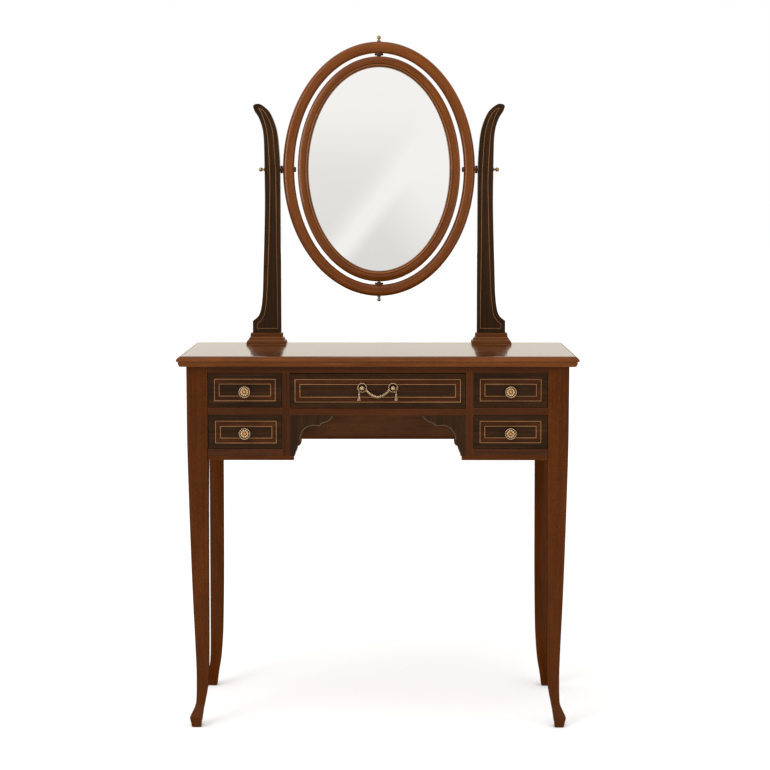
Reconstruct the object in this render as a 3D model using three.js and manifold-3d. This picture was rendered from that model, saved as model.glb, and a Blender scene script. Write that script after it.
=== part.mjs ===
// Kneehole dressing table: five drawers under a moulded top, and an oval swing mirror
// that tilts between two scrolled posts and turns inside its outer ring.
// Millimetres, +Z up, front towards -Y, origin on the floor under the middle of the top.
// Mirror-image pieces are built on the right (+X) and reflected to the left.

import * as THREE from 'three';
import { mergeVertices } from 'three/addons/utils/BufferGeometryUtils.js';
import Module from 'manifold-3d';

const wasm = await Module();
wasm.setup();

// ---------------------------------------------------------------- driving dimensions

const GAP = 0.3; // air between pieces that touch on the real table
const REVEAL = 1; // gap round a drawer front

// Top
const TOP_WIDTH = 840;
const TOP_DEPTH = 420;
const TOP_HEIGHT = 790;
const TOP_THICK = 22;
const NOSE_RADIUS = 10;
const TOP_FILLET_INSET = 5;
const TOP_UNDER = TOP_HEIGHT - TOP_THICK;
const NOSE_BOTTOM = TOP_UNDER + 10;

// Carcase, as distances from the middle of the table
const CASE_FRONT = -192;
const RAIL_FRONT = CASE_FRONT + 0.5;
const RAIL_BACK = -152;
const CASE_BOTTOM = 571;
const LEG_OUTER = 400;
const LEG_INNER = 355.5;
const LEG_BACK = -147.5;
const REAR_LEG_OUTER = 386;
const REAR_LEG_INNER = 354.5;
const REAR_LEG_FRONT = 152;
const REAR_LEG_BACK = 190;
const PANEL_OUTER = 380;
const PANEL_THICK = 10;
const STILE_INNER = 184;
const STILE_OUTER = 200;
const BACK_FRONT = 174;
const BACK_THICK = 10;
const BACK_RAIL_HEIGHT = 8;
const BOARD_THICK = 8;

// Heights of the drawer openings
const UPPER_TOP = 755;
const UPPER_BOTTOM = 681.8;
const LOWER_TOP = 667;
const LOWER_BOTTOM = 594.8;
const CENTRE_TOP = 754.2;
const CENTRE_BOTTOM = 679.8;
const CENTRE_RAIL_BOTTOM = 666;
const LIP_TOP = 579.5;
const LIP_INNER = 176;
const BOTTOM_RAIL_BACK = -172;

// Drawers
const DRAWER_FACE = -190;
const FRONT_THICK = 18;
const BOX_BACK = 146;
const BOX_SIDE = 9;
const BOX_BASE = 5;
const BOX_SIDE_CLEAR = 3;
const BOX_TOP_CLEAR = 9;

// Pulls
const KNOB_RADIUS = 13;
const KNOB_LENGTH = 19;
const KNOB_DROP = 3;
const HANDLE_SPACING = 64.6;
const HANDLE_HEIGHT = 723.6;
const HANDLE_AXIS_Y = -200.5;
const ROSETTE_RADIUS = 10.5;
const SWAG_RADIUS = 2.7;
const SWAG_DROP = 18.7;
const PIN_RADIUS = 1.5;
const PIN_HOLE_RADIUS = 2.1;

// Brackets
const BRACKET_FRONT = -190.5;
const BRACKET_THICK = 16;

// Mirror stand
const MIRROR_Y = 157;
const PIVOT_Z = 1180.8;
const POST_THICK = 26;
const POST_INNER = 220.5;
const POST_BASE_OUTER = 284;
const PLINTH_CENTRE = 252.8;
const PLINTH_HALF_WIDTH = 44.8;
const PLINTH_HALF_DEPTH = 26;
const PLINTH_HEIGHT = 25;
const RING_HALF = [214.9, 283.1];
const RING_INNER_HALF = [189.6, 257.6];
const FRAME_HALF = [181.8, 250.6];
const GLASS_OPEN_HALF = [157.4, 226.2];
const GLASS_HALF = [163, 231.5];
const GLASS_THICK = 4;
const OVAL_STEPS = 48;

// Mirror fittings
const SHAFT_RADIUS = 2.5;
const SHAFT_HOLE_RADIUS = 3.2;
const SCREW_BALL_RADIUS = 4.7;
const SCREW_BALL_AT = 264.3;
const SCREW_SEAT = 256.5;
const SCREW_TIP = 187.4;
const COLLAR_RADIUS = 9;
const NUT_RADIUS = 5.8;
const NUT_THICK = 3.8;
const SPACER_RADIUS = 9.8;
const TOP_SPACER_HEIGHT = 5.4;
const BOTTOM_SPACER_HEIGHT = 4.7;
const SPACER_SEAT = RING_INNER_HALF[1] - 1.3; // clear of the ring's curve at the disc's rim
const FRAME_HOLE_DEPTH = 9;
const HOLE_SIDES = 16;

// ---------------------------------------------------------------- materials

function finish(color, roughness, metalness = 0) {
  return { color, roughness, metalness };
}

const MAHOGANY = finish(0x6b3418, 0.3);
const ROSEWOOD = finish(0x33241c, 0.3);
const DRAWER_WOOD = finish(0xb08a5c, 0.6);
const BACKING = finish(0x7a5a3a, 0.7);
const BRASS = finish(0xb98a44, 0.35, 1);
const ANTIQUE_GOLD = finish(0xa08a66, 0.4, 1);
const BRONZE = finish(0x3c2c20, 0.5, 0.8);
const MIRROR = finish(0xe8ebec, 0.03, 1);

// ---------------------------------------------------------------- geometry helpers

function signedVolume(geometry) {
  const position = geometry.attributes.position;
  const index = geometry.index.array;
  const corners = [new THREE.Vector3(), new THREE.Vector3(), new THREE.Vector3()];
  let volume = 0;
  for (let i = 0; i < index.length; i += 3) {
    corners.forEach((corner, k) => corner.fromBufferAttribute(position, index[i + k]));
    volume += corners[0].dot(corners[1].clone().cross(corners[2])) / 6;
  }
  return volume;
}

// Merges the corners and turns the faces outwards.
function closed(geometry) {
  const bare = geometry.clone();
  bare.deleteAttribute('normal');
  bare.deleteAttribute('uv');
  const merged = mergeVertices(bare, 1e-4);
  if (signedVolume(merged) < 0) {
    const index = merged.index.array;
    for (let i = 0; i < index.length; i += 3) {
      [index[i + 1], index[i + 2]] = [index[i + 2], index[i + 1]];
    }
  }
  return merged;
}

function solid(geometry) {
  const merged = closed(geometry);
  const mesh = new wasm.Mesh({
    numProp: 3,
    vertProperties: new Float32Array(merged.attributes.position.array),
    triVerts: new Uint32Array(merged.index.array),
  });
  return new wasm.Manifold(mesh);
}

function geometryOf(manifold) {
  const mesh = manifold.getMesh();
  const geometry = new THREE.BufferGeometry();
  geometry.setAttribute('position', new THREE.BufferAttribute(mesh.vertProperties, 3));
  geometry.setIndex(new THREE.BufferAttribute(mesh.triVerts, 1));
  return geometry;
}

function cut(geometry, ...tools) {
  return geometryOf(tools.reduce((body, tool) => body.subtract(solid(tool)), solid(geometry)));
}

function join(...pieces) {
  return geometryOf(pieces.map(solid).reduce((body, piece) => body.add(piece)));
}

function box(x0, x1, y0, y1, z0, z1) {
  const geometry = new THREE.BoxGeometry(x1 - x0, y1 - y0, z1 - z0);
  return geometry.translate((x0 + x1) / 2, (y0 + y1) / 2, (z0 + z1) / 2);
}

// Joins rings of equally many points into a skin, capped at both ends or closed on itself.
function loft(rings, ringsClose = false) {
  const count = rings[0].length;
  const index = [];
  const last = ringsClose ? rings.length : rings.length - 1;
  for (let r = 0; r < last; r += 1) {
    const near = r * count;
    const far = ((r + 1) % rings.length) * count;
    for (let k = 0; k < count; k += 1) {
      const next = (k + 1) % count;
      index.push(near + k, near + next, far + next, near + k, far + next, far + k);
    }
  }
  if (!ringsClose) {
    const end = (rings.length - 1) * count;
    for (let k = 1; k < count - 1; k += 1) {
      index.push(0, k + 1, k, end, end + k, end + k + 1);
    }
  }
  const geometry = new THREE.BufferGeometry();
  geometry.setAttribute('position', new THREE.Float32BufferAttribute(rings.flat(2), 3));
  geometry.setIndex(index);
  return geometry;
}

// A stack of level rectangles, each given as [z, x0, x1, y0, y1].
function rectangleStack(levels) {
  return loft(levels.map(([z, x0, x1, y0, y1]) => [
    [x0, y0, z],
    [x1, y0, z],
    [x1, y1, z],
    [x0, y1, z],
  ]));
}

// Extrudes an outline drawn in the XZ plane from y0 to y1.
function frontOutline(shape, y0, y1, curveSegments = 2) {
  const settings = { depth: y1 - y0, bevelEnabled: false, curveSegments };
  return new THREE.ExtrudeGeometry(shape, settings).rotateX(Math.PI / 2).translate(0, y1, 0);
}

// Extrudes an outline drawn in the XY plane from z0 to z1.
function plan(points, z0, z1) {
  const shape = new THREE.Shape(points.map(([x, y]) => new THREE.Vector2(x, y)));
  const settings = { depth: z1 - z0, bevelEnabled: false };
  return new THREE.ExtrudeGeometry(shape, settings).translate(0, 0, z0);
}

// Extrudes an outline drawn in the YZ plane from x0 to x1.
function sideOutline(points, x0, x1) {
  const shape = new THREE.Shape(points.map(([y, z]) => new THREE.Vector2(y, z)));
  const settings = { depth: x1 - x0, bevelEnabled: false };
  const geometry = new THREE.ExtrudeGeometry(shape, settings);
  return geometry.rotateY(Math.PI / 2).rotateX(Math.PI / 2).translate(x0, 0, 0);
}

// A turned piece whose profile is [radius, distance along the axis] from one end to the other.
function turned(profile, sides) {
  return new THREE.LatheGeometry(profile.map(([r, d]) => new THREE.Vector2(r, d)), sides);
}

function turnedAlongX(profile, sides) {
  return turned(profile, sides).rotateZ(-Math.PI / 2);
}

function turnedAlongZ(profile, sides) {
  return turned(profile, sides).rotateX(Math.PI / 2);
}

function turnedForward(profile, sides) {
  return turned(profile, sides).rotateX(Math.PI);
}

function rod(radius, from, to) {
  return [[0, from], [radius, from], [radius, to], [0, to]];
}

// A ring of cross-sections round an oval. Each section point is [s, y]: s runs from 0 on the
// outer oval to 1 on the inner one.
function ovalBand(outerHalf, innerHalf, section) {
  const rings = [];
  for (let step = 0; step < OVAL_STEPS; step += 1) {
    const angle = (step / OVAL_STEPS) * 2 * Math.PI;
    rings.push(section.map(([s, y]) => [
      THREE.MathUtils.lerp(outerHalf[0], innerHalf[0], s) * Math.cos(angle),
      y,
      THREE.MathUtils.lerp(outerHalf[1], innerHalf[1], s) * Math.sin(angle),
    ]));
  }
  return loft(rings, true);
}

function ovalPlate(half, y0, y1) {
  const shape = new THREE.Shape().absellipse(0, 0, half[0], half[1], 0, 2 * Math.PI, false, 0);
  return frontOutline(shape, y0, y1, OVAL_STEPS / 2);
}

function reflected(geometry) {
  return geometry.clone().scale(-1, 1, 1);
}

// ---------------------------------------------------------------- assembly helpers

const table = new THREE.Group();

function addTo(group, name, geometry, look) {
  const mesh = new THREE.Mesh(closed(geometry), new THREE.MeshStandardMaterial(look));
  mesh.name = name;
  group.add(mesh);
}

function addPair(group, name, rightGeometry, look) {
  addTo(group, `left_${name}`, reflected(rightGeometry), look);
  addTo(group, `right_${name}`, rightGeometry, look);
}

// ---------------------------------------------------------------- top

function tableTop() {
  const nose = [90, 60, 30, 0].map((degrees) => {
    const angle = THREE.MathUtils.degToRad(degrees);
    const rise = NOSE_RADIUS * Math.sin(angle);
    return [TOP_HEIGHT - NOSE_RADIUS + rise, NOSE_RADIUS * (1 - Math.cos(angle))];
  });
  const profile = [
    ...nose,
    [NOSE_BOTTOM, 0.8],
    [NOSE_BOTTOM - 1.5, TOP_FILLET_INSET + 0.8],
    [NOSE_BOTTOM - 3, TOP_FILLET_INSET],
    [TOP_UNDER, TOP_FILLET_INSET],
  ];
  return rectangleStack(profile.map(([z, inset]) => {
    const x = TOP_WIDTH / 2 - inset;
    const y = TOP_DEPTH / 2 - inset;
    return [z, -x, x, -y, y];
  }));
}

addTo(table, 'table_top', tableTop(), MAHOGANY);

// ---------------------------------------------------------------- legs

// Each row: height, then how far the outer, inner, front and back faces stand in from the
// square top of the leg. The leg tapers, narrows at the ankle and kicks out to a small hoof.
const FRONT_LEG_TAPER = [
  [TOP_UNDER - GAP, 0, 0, 0, 0],
  [600, 0.6, 0.6, 0.8, 0],
  [486, 3, 2.2, 4, 1],
  [380, 5.6, 2.8, 7, 1.6],
  [273, 9, 3.2, 10, 2.1],
  [187, 12.2, 3.6, 13, 2.4],
  [122, 14.3, 4.4, 15, 3.8],
  [92, 14.3, 5.6, 14.4, 5.6],
  [57, 12.8, 9.3, 10, 11],
  [36, 7.2, 12.8, 3, 16],
  [18, 0.9, 15.7, -4, 20],
  [0, 6.2, 19.2, 0, 23],
];

const REAR_LEG_TAPER = [
  [TOP_UNDER - GAP, 0, 0, 0, 0],
  [508, 3.2, 0.3, 1, 0],
  [297, 2.6, 0.7, 4, 3],
  [207, 2.2, 1.8, 5, 4],
  [117, 1.9, 4, 6, 6],
  [72, 1.2, 7.6, 4, 9],
  [50, -1.6, 10.6, 1, 12],
  [20, -10, 15.4, -4, 18],
  [0, -8.4, 17.6, -1, 19],
];

function leg(taper, outer, inner, front, back) {
  const inwards = Math.sign(back - front);
  return rectangleStack(taper.map(([z, outerIn, innerIn, frontIn, backIn]) => [
    z,
    inner + innerIn,
    outer - outerIn,
    front + inwards * frontIn,
    back - inwards * backIn,
  ]));
}

const frontLeg = leg(FRONT_LEG_TAPER, LEG_OUTER, LEG_INNER, CASE_FRONT, LEG_BACK);
addTo(table, 'front_left_leg', reflected(frontLeg), MAHOGANY);
addTo(table, 'front_right_leg', frontLeg, MAHOGANY);

// A rear leg kicks backwards, so its "front" face in the taper is the face at the back.
const rearLeg = leg(REAR_LEG_TAPER, REAR_LEG_OUTER, REAR_LEG_INNER, REAR_LEG_BACK, REAR_LEG_FRONT);
addTo(table, 'rear_left_leg', reflected(rearLeg), MAHOGANY);
addTo(table, 'rear_right_leg', rearLeg, MAHOGANY);

// ---------------------------------------------------------------- carcase

const carcase = new THREE.Group();
table.add(carcase);

const PANEL_INNER = PANEL_OUTER - PANEL_THICK;
const CASE_TOP = TOP_UNDER - GAP;

addPair(
  carcase,
  'side_panel',
  box(PANEL_INNER, PANEL_OUTER, LEG_BACK + GAP, REAR_LEG_FRONT - GAP, CASE_BOTTOM, CASE_TOP),
  MAHOGANY,
);

// The partition's front edge is the stile beside the knee space. It is notched for the top
// rail and for the lip of the bottom rail.
const PARTITION_OUTLINE = [
  [RAIL_FRONT, LIP_TOP + GAP],
  [BOTTOM_RAIL_BACK + GAP, LIP_TOP + GAP],
  [BOTTOM_RAIL_BACK + GAP, CASE_BOTTOM],
  [BACK_FRONT - GAP, CASE_BOTTOM],
  [BACK_FRONT - GAP, CASE_TOP],
  [RAIL_BACK + GAP, CASE_TOP],
  [RAIL_BACK + GAP, UPPER_TOP - GAP],
  [RAIL_FRONT, UPPER_TOP - GAP],
];
addPair(carcase, 'partition', sideOutline(PARTITION_OUTLINE, STILE_INNER, STILE_OUTER), MAHOGANY);

const BACK_HALF = REAR_LEG_INNER - GAP;
const BACK_RAIL_TOP = CASE_BOTTOM + BACK_RAIL_HEIGHT;
addTo(
  carcase,
  'back_panel',
  box(-BACK_HALF, BACK_HALF, BACK_FRONT, BACK_FRONT + BACK_THICK, BACK_RAIL_TOP + GAP, CASE_TOP),
  MAHOGANY,
);
addTo(
  carcase,
  'back_bottom_rail',
  box(-BACK_HALF, BACK_HALF, BACK_FRONT, REAR_LEG_BACK - 2, CASE_BOTTOM, BACK_RAIL_TOP),
  MAHOGANY,
);

const RAIL_END = LEG_INNER - GAP;
addTo(
  carcase,
  'front_top_rail',
  box(-RAIL_END, RAIL_END, RAIL_FRONT, RAIL_BACK, UPPER_TOP, CASE_TOP),
  MAHOGANY,
);

const BAY_START = STILE_OUTER + GAP;
addPair(
  carcase,
  'divider_rail',
  box(BAY_START, RAIL_END, RAIL_FRONT, RAIL_BACK, LOWER_TOP, UPPER_BOTTOM),
  MAHOGANY,
);

const CENTRE_HALF = STILE_INNER - GAP;
addTo(
  carcase,
  'centre_rail',
  box(-CENTRE_HALF, CENTRE_HALF, RAIL_FRONT, RAIL_BACK, CENTRE_RAIL_BOTTOM, CENTRE_BOTTOM),
  MAHOGANY,
);

// The bottom rail's lip runs on under the partition.
const BOTTOM_RAIL_OUTLINE = new THREE.Shape([
  new THREE.Vector2(BAY_START, LOWER_BOTTOM),
  new THREE.Vector2(BAY_START, LIP_TOP),
  new THREE.Vector2(LIP_INNER, LIP_TOP),
  new THREE.Vector2(LIP_INNER, CASE_BOTTOM),
  new THREE.Vector2(RAIL_END, CASE_BOTTOM),
  new THREE.Vector2(RAIL_END, LOWER_BOTTOM),
]);
addPair(
  carcase,
  'bottom_rail',
  frontOutline(BOTTOM_RAIL_OUTLINE, CASE_FRONT, BOTTOM_RAIL_BACK),
  MAHOGANY,
);

// The boards that the drawers run on, let in round the legs.
function runnerBoard(front, top) {
  const corner = LEG_BACK + GAP;
  const outline = [
    [BAY_START, front],
    [RAIL_END, front],
    [RAIL_END, corner],
    [PANEL_INNER - GAP, corner],
    [PANEL_INNER - GAP, REAR_LEG_FRONT - GAP],
    [BACK_HALF, REAR_LEG_FRONT - GAP],
    [BACK_HALF, BACK_FRONT - GAP],
    [BAY_START, BACK_FRONT - GAP],
  ];
  return plan(outline, top - BOARD_THICK, top);
}

const BOARD_DROP = 0.4; // the boards lie just under the rails' top edges
addPair(carcase, 'mid_board', runnerBoard(RAIL_BACK + GAP, UPPER_BOTTOM - BOARD_DROP), DRAWER_WOOD);
addPair(
  carcase,
  'bottom_board',
  runnerBoard(BOTTOM_RAIL_BACK + GAP, LOWER_BOTTOM - BOARD_DROP),
  DRAWER_WOOD,
);

const CENTRE_BOARD_TOP = CENTRE_BOTTOM - BOARD_DROP;
addTo(
  carcase,
  'centre_board',
  box(
    -CENTRE_HALF,
    CENTRE_HALF,
    RAIL_BACK + GAP,
    BACK_FRONT - GAP,
    CENTRE_BOARD_TOP - BOARD_THICK,
    CENTRE_BOARD_TOP,
  ),
  DRAWER_WOOD,
);

// ---------------------------------------------------------------- brackets

// A shaped bracket fills each upper corner of the knee space: an ogee from the rail to a
// pointed cusp, a big hollow, then a small bead above the tail that stands on the lip.
function bracket() {
  const corner = [STILE_INNER - GAP, CENTRE_RAIL_BOTTOM - GAP];
  const foot = LIP_TOP + GAP;
  const shape = new THREE.Shape();
  shape.moveTo(corner[0], corner[1]);
  shape.lineTo(93, corner[1]);
  shape.splineThru([[97, 658], [105, 652], [114, 649], [121, 642]].map(toPoint));
  shape.splineThru([[135, 643.5], [148, 640], [157, 631], [162.5, 618]].map(toPoint));
  shape.splineThru([[159.5, 611.5], [161.5, 604], [166.5, 600.5]].map(toPoint));
  shape.splineThru([[170, 590], [173.5, foot]].map(toPoint));
  shape.lineTo(corner[0], foot);
  return frontOutline(shape, BRACKET_FRONT, BRACKET_FRONT + BRACKET_THICK);
}

function toPoint([x, z]) {
  return new THREE.Vector2(x, z);
}

addPair(table, 'bracket', bracket(), ROSEWOOD);

// ---------------------------------------------------------------- drawers

function drawerFront([x0, x1, z0, z1]) {
  const back = DRAWER_FACE + FRONT_THICK;
  return box(x0 + REVEAL, x1 - REVEAL, DRAWER_FACE, back, z0 + REVEAL, z1 - REVEAL);
}

function drawerBox([x0, x1, z0, z1]) {
  const left = x0 + BOX_SIDE_CLEAR;
  const right = x1 - BOX_SIDE_CLEAR;
  const front = DRAWER_FACE + FRONT_THICK + GAP;
  const base = z0 + REVEAL;
  const rim = z1 - BOX_TOP_CLEAR;
  const hollow = box(
    left + BOX_SIDE,
    right - BOX_SIDE,
    front + BOX_SIDE,
    BOX_BACK - BOX_SIDE,
    base + BOX_BASE,
    rim + 1,
  );
  return cut(box(left, right, front, BOX_BACK, base, rim), hollow);
}

function knob([x0, x1, z0, z1]) {
  const profile = [
    [0, 0],
    [8, 0],
    [8, 1.5],
    [4.5, 3],
    [4.5, 8],
    [KNOB_RADIUS, 10],
    [KNOB_RADIUS, 12.5],
    [KNOB_RADIUS - 4, 15],
    [KNOB_RADIUS - 8, 15],
    [KNOB_RADIUS - 9, 18],
    [0, KNOB_LENGTH],
  ];
  const height = (z0 + z1) / 2 - KNOB_DROP;
  return turnedForward(profile, 16).translate((x0 + x1) / 2, DRAWER_FACE - GAP, height);
}

const DRAWERS = {
  upper: [STILE_OUTER, LEG_INNER, UPPER_BOTTOM, UPPER_TOP],
  lower: [STILE_OUTER, LEG_INNER, LOWER_BOTTOM, LOWER_TOP],
};

for (const [row, opening] of Object.entries(DRAWERS)) {
  const drawer = new THREE.Group();
  table.add(drawer);
  addPair(drawer, `${row}_drawer_front`, drawerFront(opening), ROSEWOOD);
  addPair(drawer, `${row}_drawer_box`, drawerBox(opening), DRAWER_WOOD);
  addPair(drawer, `${row}_knob`, knob(opening), ANTIQUE_GOLD);
}

const centreDrawer = new THREE.Group();
table.add(centreDrawer);
const CENTRE_OPENING = [-STILE_INNER, STILE_INNER, CENTRE_BOTTOM, CENTRE_TOP];
addTo(centreDrawer, 'centre_drawer_front', drawerFront(CENTRE_OPENING), ROSEWOOD);
addTo(centreDrawer, 'centre_drawer_box', drawerBox(CENTRE_OPENING), DRAWER_WOOD);

// Each rosette is a dished ring with a round stem and head; a pin of the swag turns in the
// cross hole of the stem.
function handleRosette() {
  const axisOut = DRAWER_FACE - GAP - HANDLE_AXIS_Y;
  const profile = [
    [0, 0],
    [ROSETTE_RADIUS, 0],
    [ROSETTE_RADIUS, 3],
    [ROSETTE_RADIUS - 1.5, 4],
    [ROSETTE_RADIUS - 3.5, 2.5],
    [3.2, 2.5],
    [3.2, axisOut + 2.8],
    [4.6, axisOut + 3.4],
    [4.6, axisOut + 5],
    [2.5, axisOut + 6.6],
    [0, axisOut + 7],
  ];
  const stem = turnedForward(profile, 16);
  const hole = turnedAlongX(rod(PIN_HOLE_RADIUS, -8, 8), 12).translate(0, -axisOut, 0);
  return cut(stem, hole).translate(HANDLE_SPACING / 2, DRAWER_FACE - GAP, HANDLE_HEIGHT);
}

addPair(centreDrawer, 'handle_rosette', handleRosette(), ANTIQUE_GOLD);

// A rope swag between two pins, with a tassel hanging outside each rosette.
function swagHandle() {
  const post = HANDLE_SPACING / 2;
  const pinStart = post - 8;
  const pinEnd = post + 7.3;
  const half = [
    [-pinStart, 0],
    [-pinStart + 2, -6],
    [-14.5, -13],
    [-6, -17.4],
  ];
  const route = [...half, [0, -SWAG_DROP], ...half.map(([x, z]) => [-x, z]).reverse()];
  const curve = new THREE.CatmullRomCurve3(route.map(([x, z]) => new THREE.Vector3(x, 0, z)));
  const section = new THREE.Shape().absarc(0, 0, SWAG_RADIUS, 0, 2 * Math.PI, false);
  const settings = { steps: 20, extrudePath: curve, curveSegments: 4, bevelEnabled: false };
  const rope = new THREE.ExtrudeGeometry(section, settings);
  const pieces = [rope];
  for (const side of [-1, 1]) {
    const pin = turnedAlongX(rod(PIN_RADIUS, pinStart - 1, pinEnd), 10);
    pieces.push(side < 0 ? reflected(pin) : pin);
    const tassel = turnedAlongZ(
      [[0, 2], [1.4, 2], [1.4, -8], [1.9, -10], [2.8, -13], [4, -26.5], [0, -26.5]],
      10,
    );
    pieces.push(tassel.translate(side * (pinEnd - 1), 0, 0));
  }
  return join(...pieces).translate(0, HANDLE_AXIS_Y, HANDLE_HEIGHT);
}

addTo(centreDrawer, 'swag_handle', swagHandle(), ANTIQUE_GOLD);

// ---------------------------------------------------------------- mirror stand

const PLINTH_BOTTOM = TOP_HEIGHT + GAP;
const PLINTH_TOP = TOP_HEIGHT + PLINTH_HEIGHT;

function plinth() {
  const profile = [
    [PLINTH_BOTTOM, 1],
    [PLINTH_BOTTOM + 1.2, 0],
    [PLINTH_BOTTOM + 5.5, 0],
    [PLINTH_BOTTOM + 7.5, 1.6],
    [PLINTH_BOTTOM + 9, 4.2],
    [PLINTH_BOTTOM + 12, 7],
    [PLINTH_BOTTOM + 15, 8.8],
    [PLINTH_TOP, 8.8],
  ];
  return rectangleStack(profile.map(([z, inset]) => [
    z,
    PLINTH_CENTRE - PLINTH_HALF_WIDTH + inset,
    PLINTH_CENTRE + PLINTH_HALF_WIDTH - inset,
    MIRROR_Y - PLINTH_HALF_DEPTH + inset,
    MIRROR_Y + PLINTH_HALF_DEPTH - inset,
  ]));
}

addPair(table, 'plinth', plinth(), MAHOGANY);

// A slender post, straight inside, that sweeps out into a broad foot and a curled tip.
function post() {
  const foot = PLINTH_TOP + GAP;
  const shape = new THREE.Shape();
  shape.moveTo(POST_BASE_OUTER, foot);
  shape.lineTo(POST_INNER, foot);
  shape.lineTo(POST_INNER, 1150);
  shape.splineThru([[222.3, 1218], [227, 1270], [236.5, 1298], [251, 1317.5]].map(toPoint));
  shape.splineThru([[262, 1322], [273, 1326.5], [280.6, 1321]].map(toPoint));
  shape.splineThru([[268.7, 1299.6], [259.5, 1272], [256.4, 1224], [255.4, 1177]].map(toPoint));
  shape.splineThru([[255, 1112], [257, 1030], [260.3, 915], [264.5, 872]].map(toPoint));
  shape.splineThru([[271, 853], [POST_BASE_OUTER, 841.8]].map(toPoint));
  const front = MIRROR_Y - POST_THICK / 2;
  const blank = frontOutline(shape, front, front + POST_THICK);
  const hole = turnedAlongX(rod(SHAFT_HOLE_RADIUS, 200, 270), HOLE_SIDES);
  return cut(blank, hole.translate(0, MIRROR_Y, PIVOT_Z));
}

addPair(table, 'post', post(), ROSEWOOD);

// ---------------------------------------------------------------- outer ring

const RING_SECTION = [
  [0, -6],
  [0.14, -9.5],
  [0.5, -11.5],
  [0.86, -9.5],
  [1, -6],
  [1, 6],
  [0.86, 9.5],
  [0.5, 11.5],
  [0.14, 9.5],
  [0, 6],
];

function outerRing() {
  const across = RING_HALF[0] + 5;
  const up = RING_HALF[1] + 5;
  return cut(
    ovalBand(RING_HALF, RING_INNER_HALF, RING_SECTION),
    turnedAlongX(rod(SHAFT_HOLE_RADIUS, -across, across), HOLE_SIDES),
    turnedAlongZ(rod(SHAFT_HOLE_RADIUS, -up, up), HOLE_SIDES),
  );
}

// The mirror's own groups have their origin at the crossing of its two axes.
const mirrorGroup = new THREE.Group();
mirrorGroup.position.set(0, MIRROR_Y, PIVOT_Z);
table.add(mirrorGroup);
addTo(mirrorGroup, 'outer_ring', outerRing(), MAHOGANY);

// ---------------------------------------------------------------- mirror frame and glass

const LIP_BACK = -2;
const REBATE = 0.72; // where the rebate's wall stands, as a share of the frame's width
const FRAME_SECTION = [
  [0, -8],
  [0.12, -11.5],
  [0.4, -13],
  [0.7, -12],
  [0.9, -8.5],
  [1, -5],
  [1, LIP_BACK],
  [REBATE, LIP_BACK],
  [REBATE, 11],
  [0, 11],
];

function innerFrame() {
  const bottom = -FRAME_HALF[1];
  const top = FRAME_HALF[1];
  const depth = FRAME_HOLE_DEPTH;
  return cut(
    ovalBand(FRAME_HALF, GLASS_OPEN_HALF, FRAME_SECTION),
    turnedAlongZ(rod(SHAFT_HOLE_RADIUS, bottom - 5, bottom + depth), HOLE_SIDES),
    turnedAlongZ(rod(SHAFT_HOLE_RADIUS, top - depth, top + 5), HOLE_SIDES),
  );
}

addTo(mirrorGroup, 'inner_frame', innerFrame(), MAHOGANY);
const GLASS_FRONT = LIP_BACK + GAP;
const GLASS_BACK = GLASS_FRONT + GLASS_THICK;
addTo(mirrorGroup, 'mirror_glass', ovalPlate(GLASS_HALF, GLASS_FRONT, GLASS_BACK), MIRROR);
addTo(
  mirrorGroup,
  'mirror_backing',
  ovalPlate(GLASS_HALF, GLASS_BACK + GAP, GLASS_BACK + GAP + GLASS_THICK),
  BACKING,
);

// ---------------------------------------------------------------- mirror fittings

function ballProfile(radius, centre, steps = 6) {
  const points = [];
  for (let step = 1; step <= steps; step += 1) {
    const angle = (step / steps) * Math.PI * 0.85 + Math.PI * 0.15;
    points.push([radius * Math.sin(angle), centre - radius * Math.cos(angle)]);
  }
  points[points.length - 1][0] = 0;
  return points;
}

// The thumb screw passes through the post, the collar and the ring into the pivot nut.
function thumbScrew() {
  const profile = [
    [0, SCREW_TIP],
    [SHAFT_RADIUS, SCREW_TIP],
    [SHAFT_RADIUS, SCREW_SEAT],
    [4, SCREW_SEAT],
    [4, SCREW_SEAT + 1.8],
    [2.2, SCREW_SEAT + 2.6],
    ...ballProfile(SCREW_BALL_RADIUS, SCREW_BALL_AT),
  ];
  return turnedAlongX(profile, 12);
}

addPair(mirrorGroup, 'thumb_screw', thumbScrew(), BRASS);

function collar() {
  const disc = turnedAlongX(rod(COLLAR_RADIUS, RING_HALF[0] + 0.5, POST_INNER - GAP), HOLE_SIDES);
  return cut(disc, turnedAlongX(rod(SHAFT_HOLE_RADIUS, 200, 230), HOLE_SIDES));
}

addPair(mirrorGroup, 'collar', collar(), BRONZE);

function pivotNut() {
  const back = RING_INNER_HALF[0] - GAP;
  const front = back - NUT_THICK;
  const blank = turnedAlongX([[0, front], [4, front], [NUT_RADIUS, front + 1.2], [NUT_RADIUS, back],
    [0, back]], HOLE_SIDES);
  return cut(blank, turnedAlongX(rod(SHAFT_HOLE_RADIUS, SCREW_TIP - 0.5, back + 2), HOLE_SIDES));
}

addPair(mirrorGroup, 'pivot_nut', pivotNut(), BRONZE);

// A turned spacer on the ring's inside, at the top and at the bottom, carries the frame.
function spacer(height) {
  const disc = turnedAlongZ(rod(SPACER_RADIUS, SPACER_SEAT - height, SPACER_SEAT), HOLE_SIDES);
  const hole = turnedAlongZ(rod(SHAFT_HOLE_RADIUS, SPACER_SEAT - 20, SPACER_SEAT + 20), HOLE_SIDES);
  return cut(disc, hole);
}

addTo(mirrorGroup, 'top_spacer', spacer(TOP_SPACER_HEIGHT), BRONZE);
addTo(mirrorGroup, 'bottom_spacer', spacer(BOTTOM_SPACER_HEIGHT).scale(1, 1, -1), BRONZE);

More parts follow.
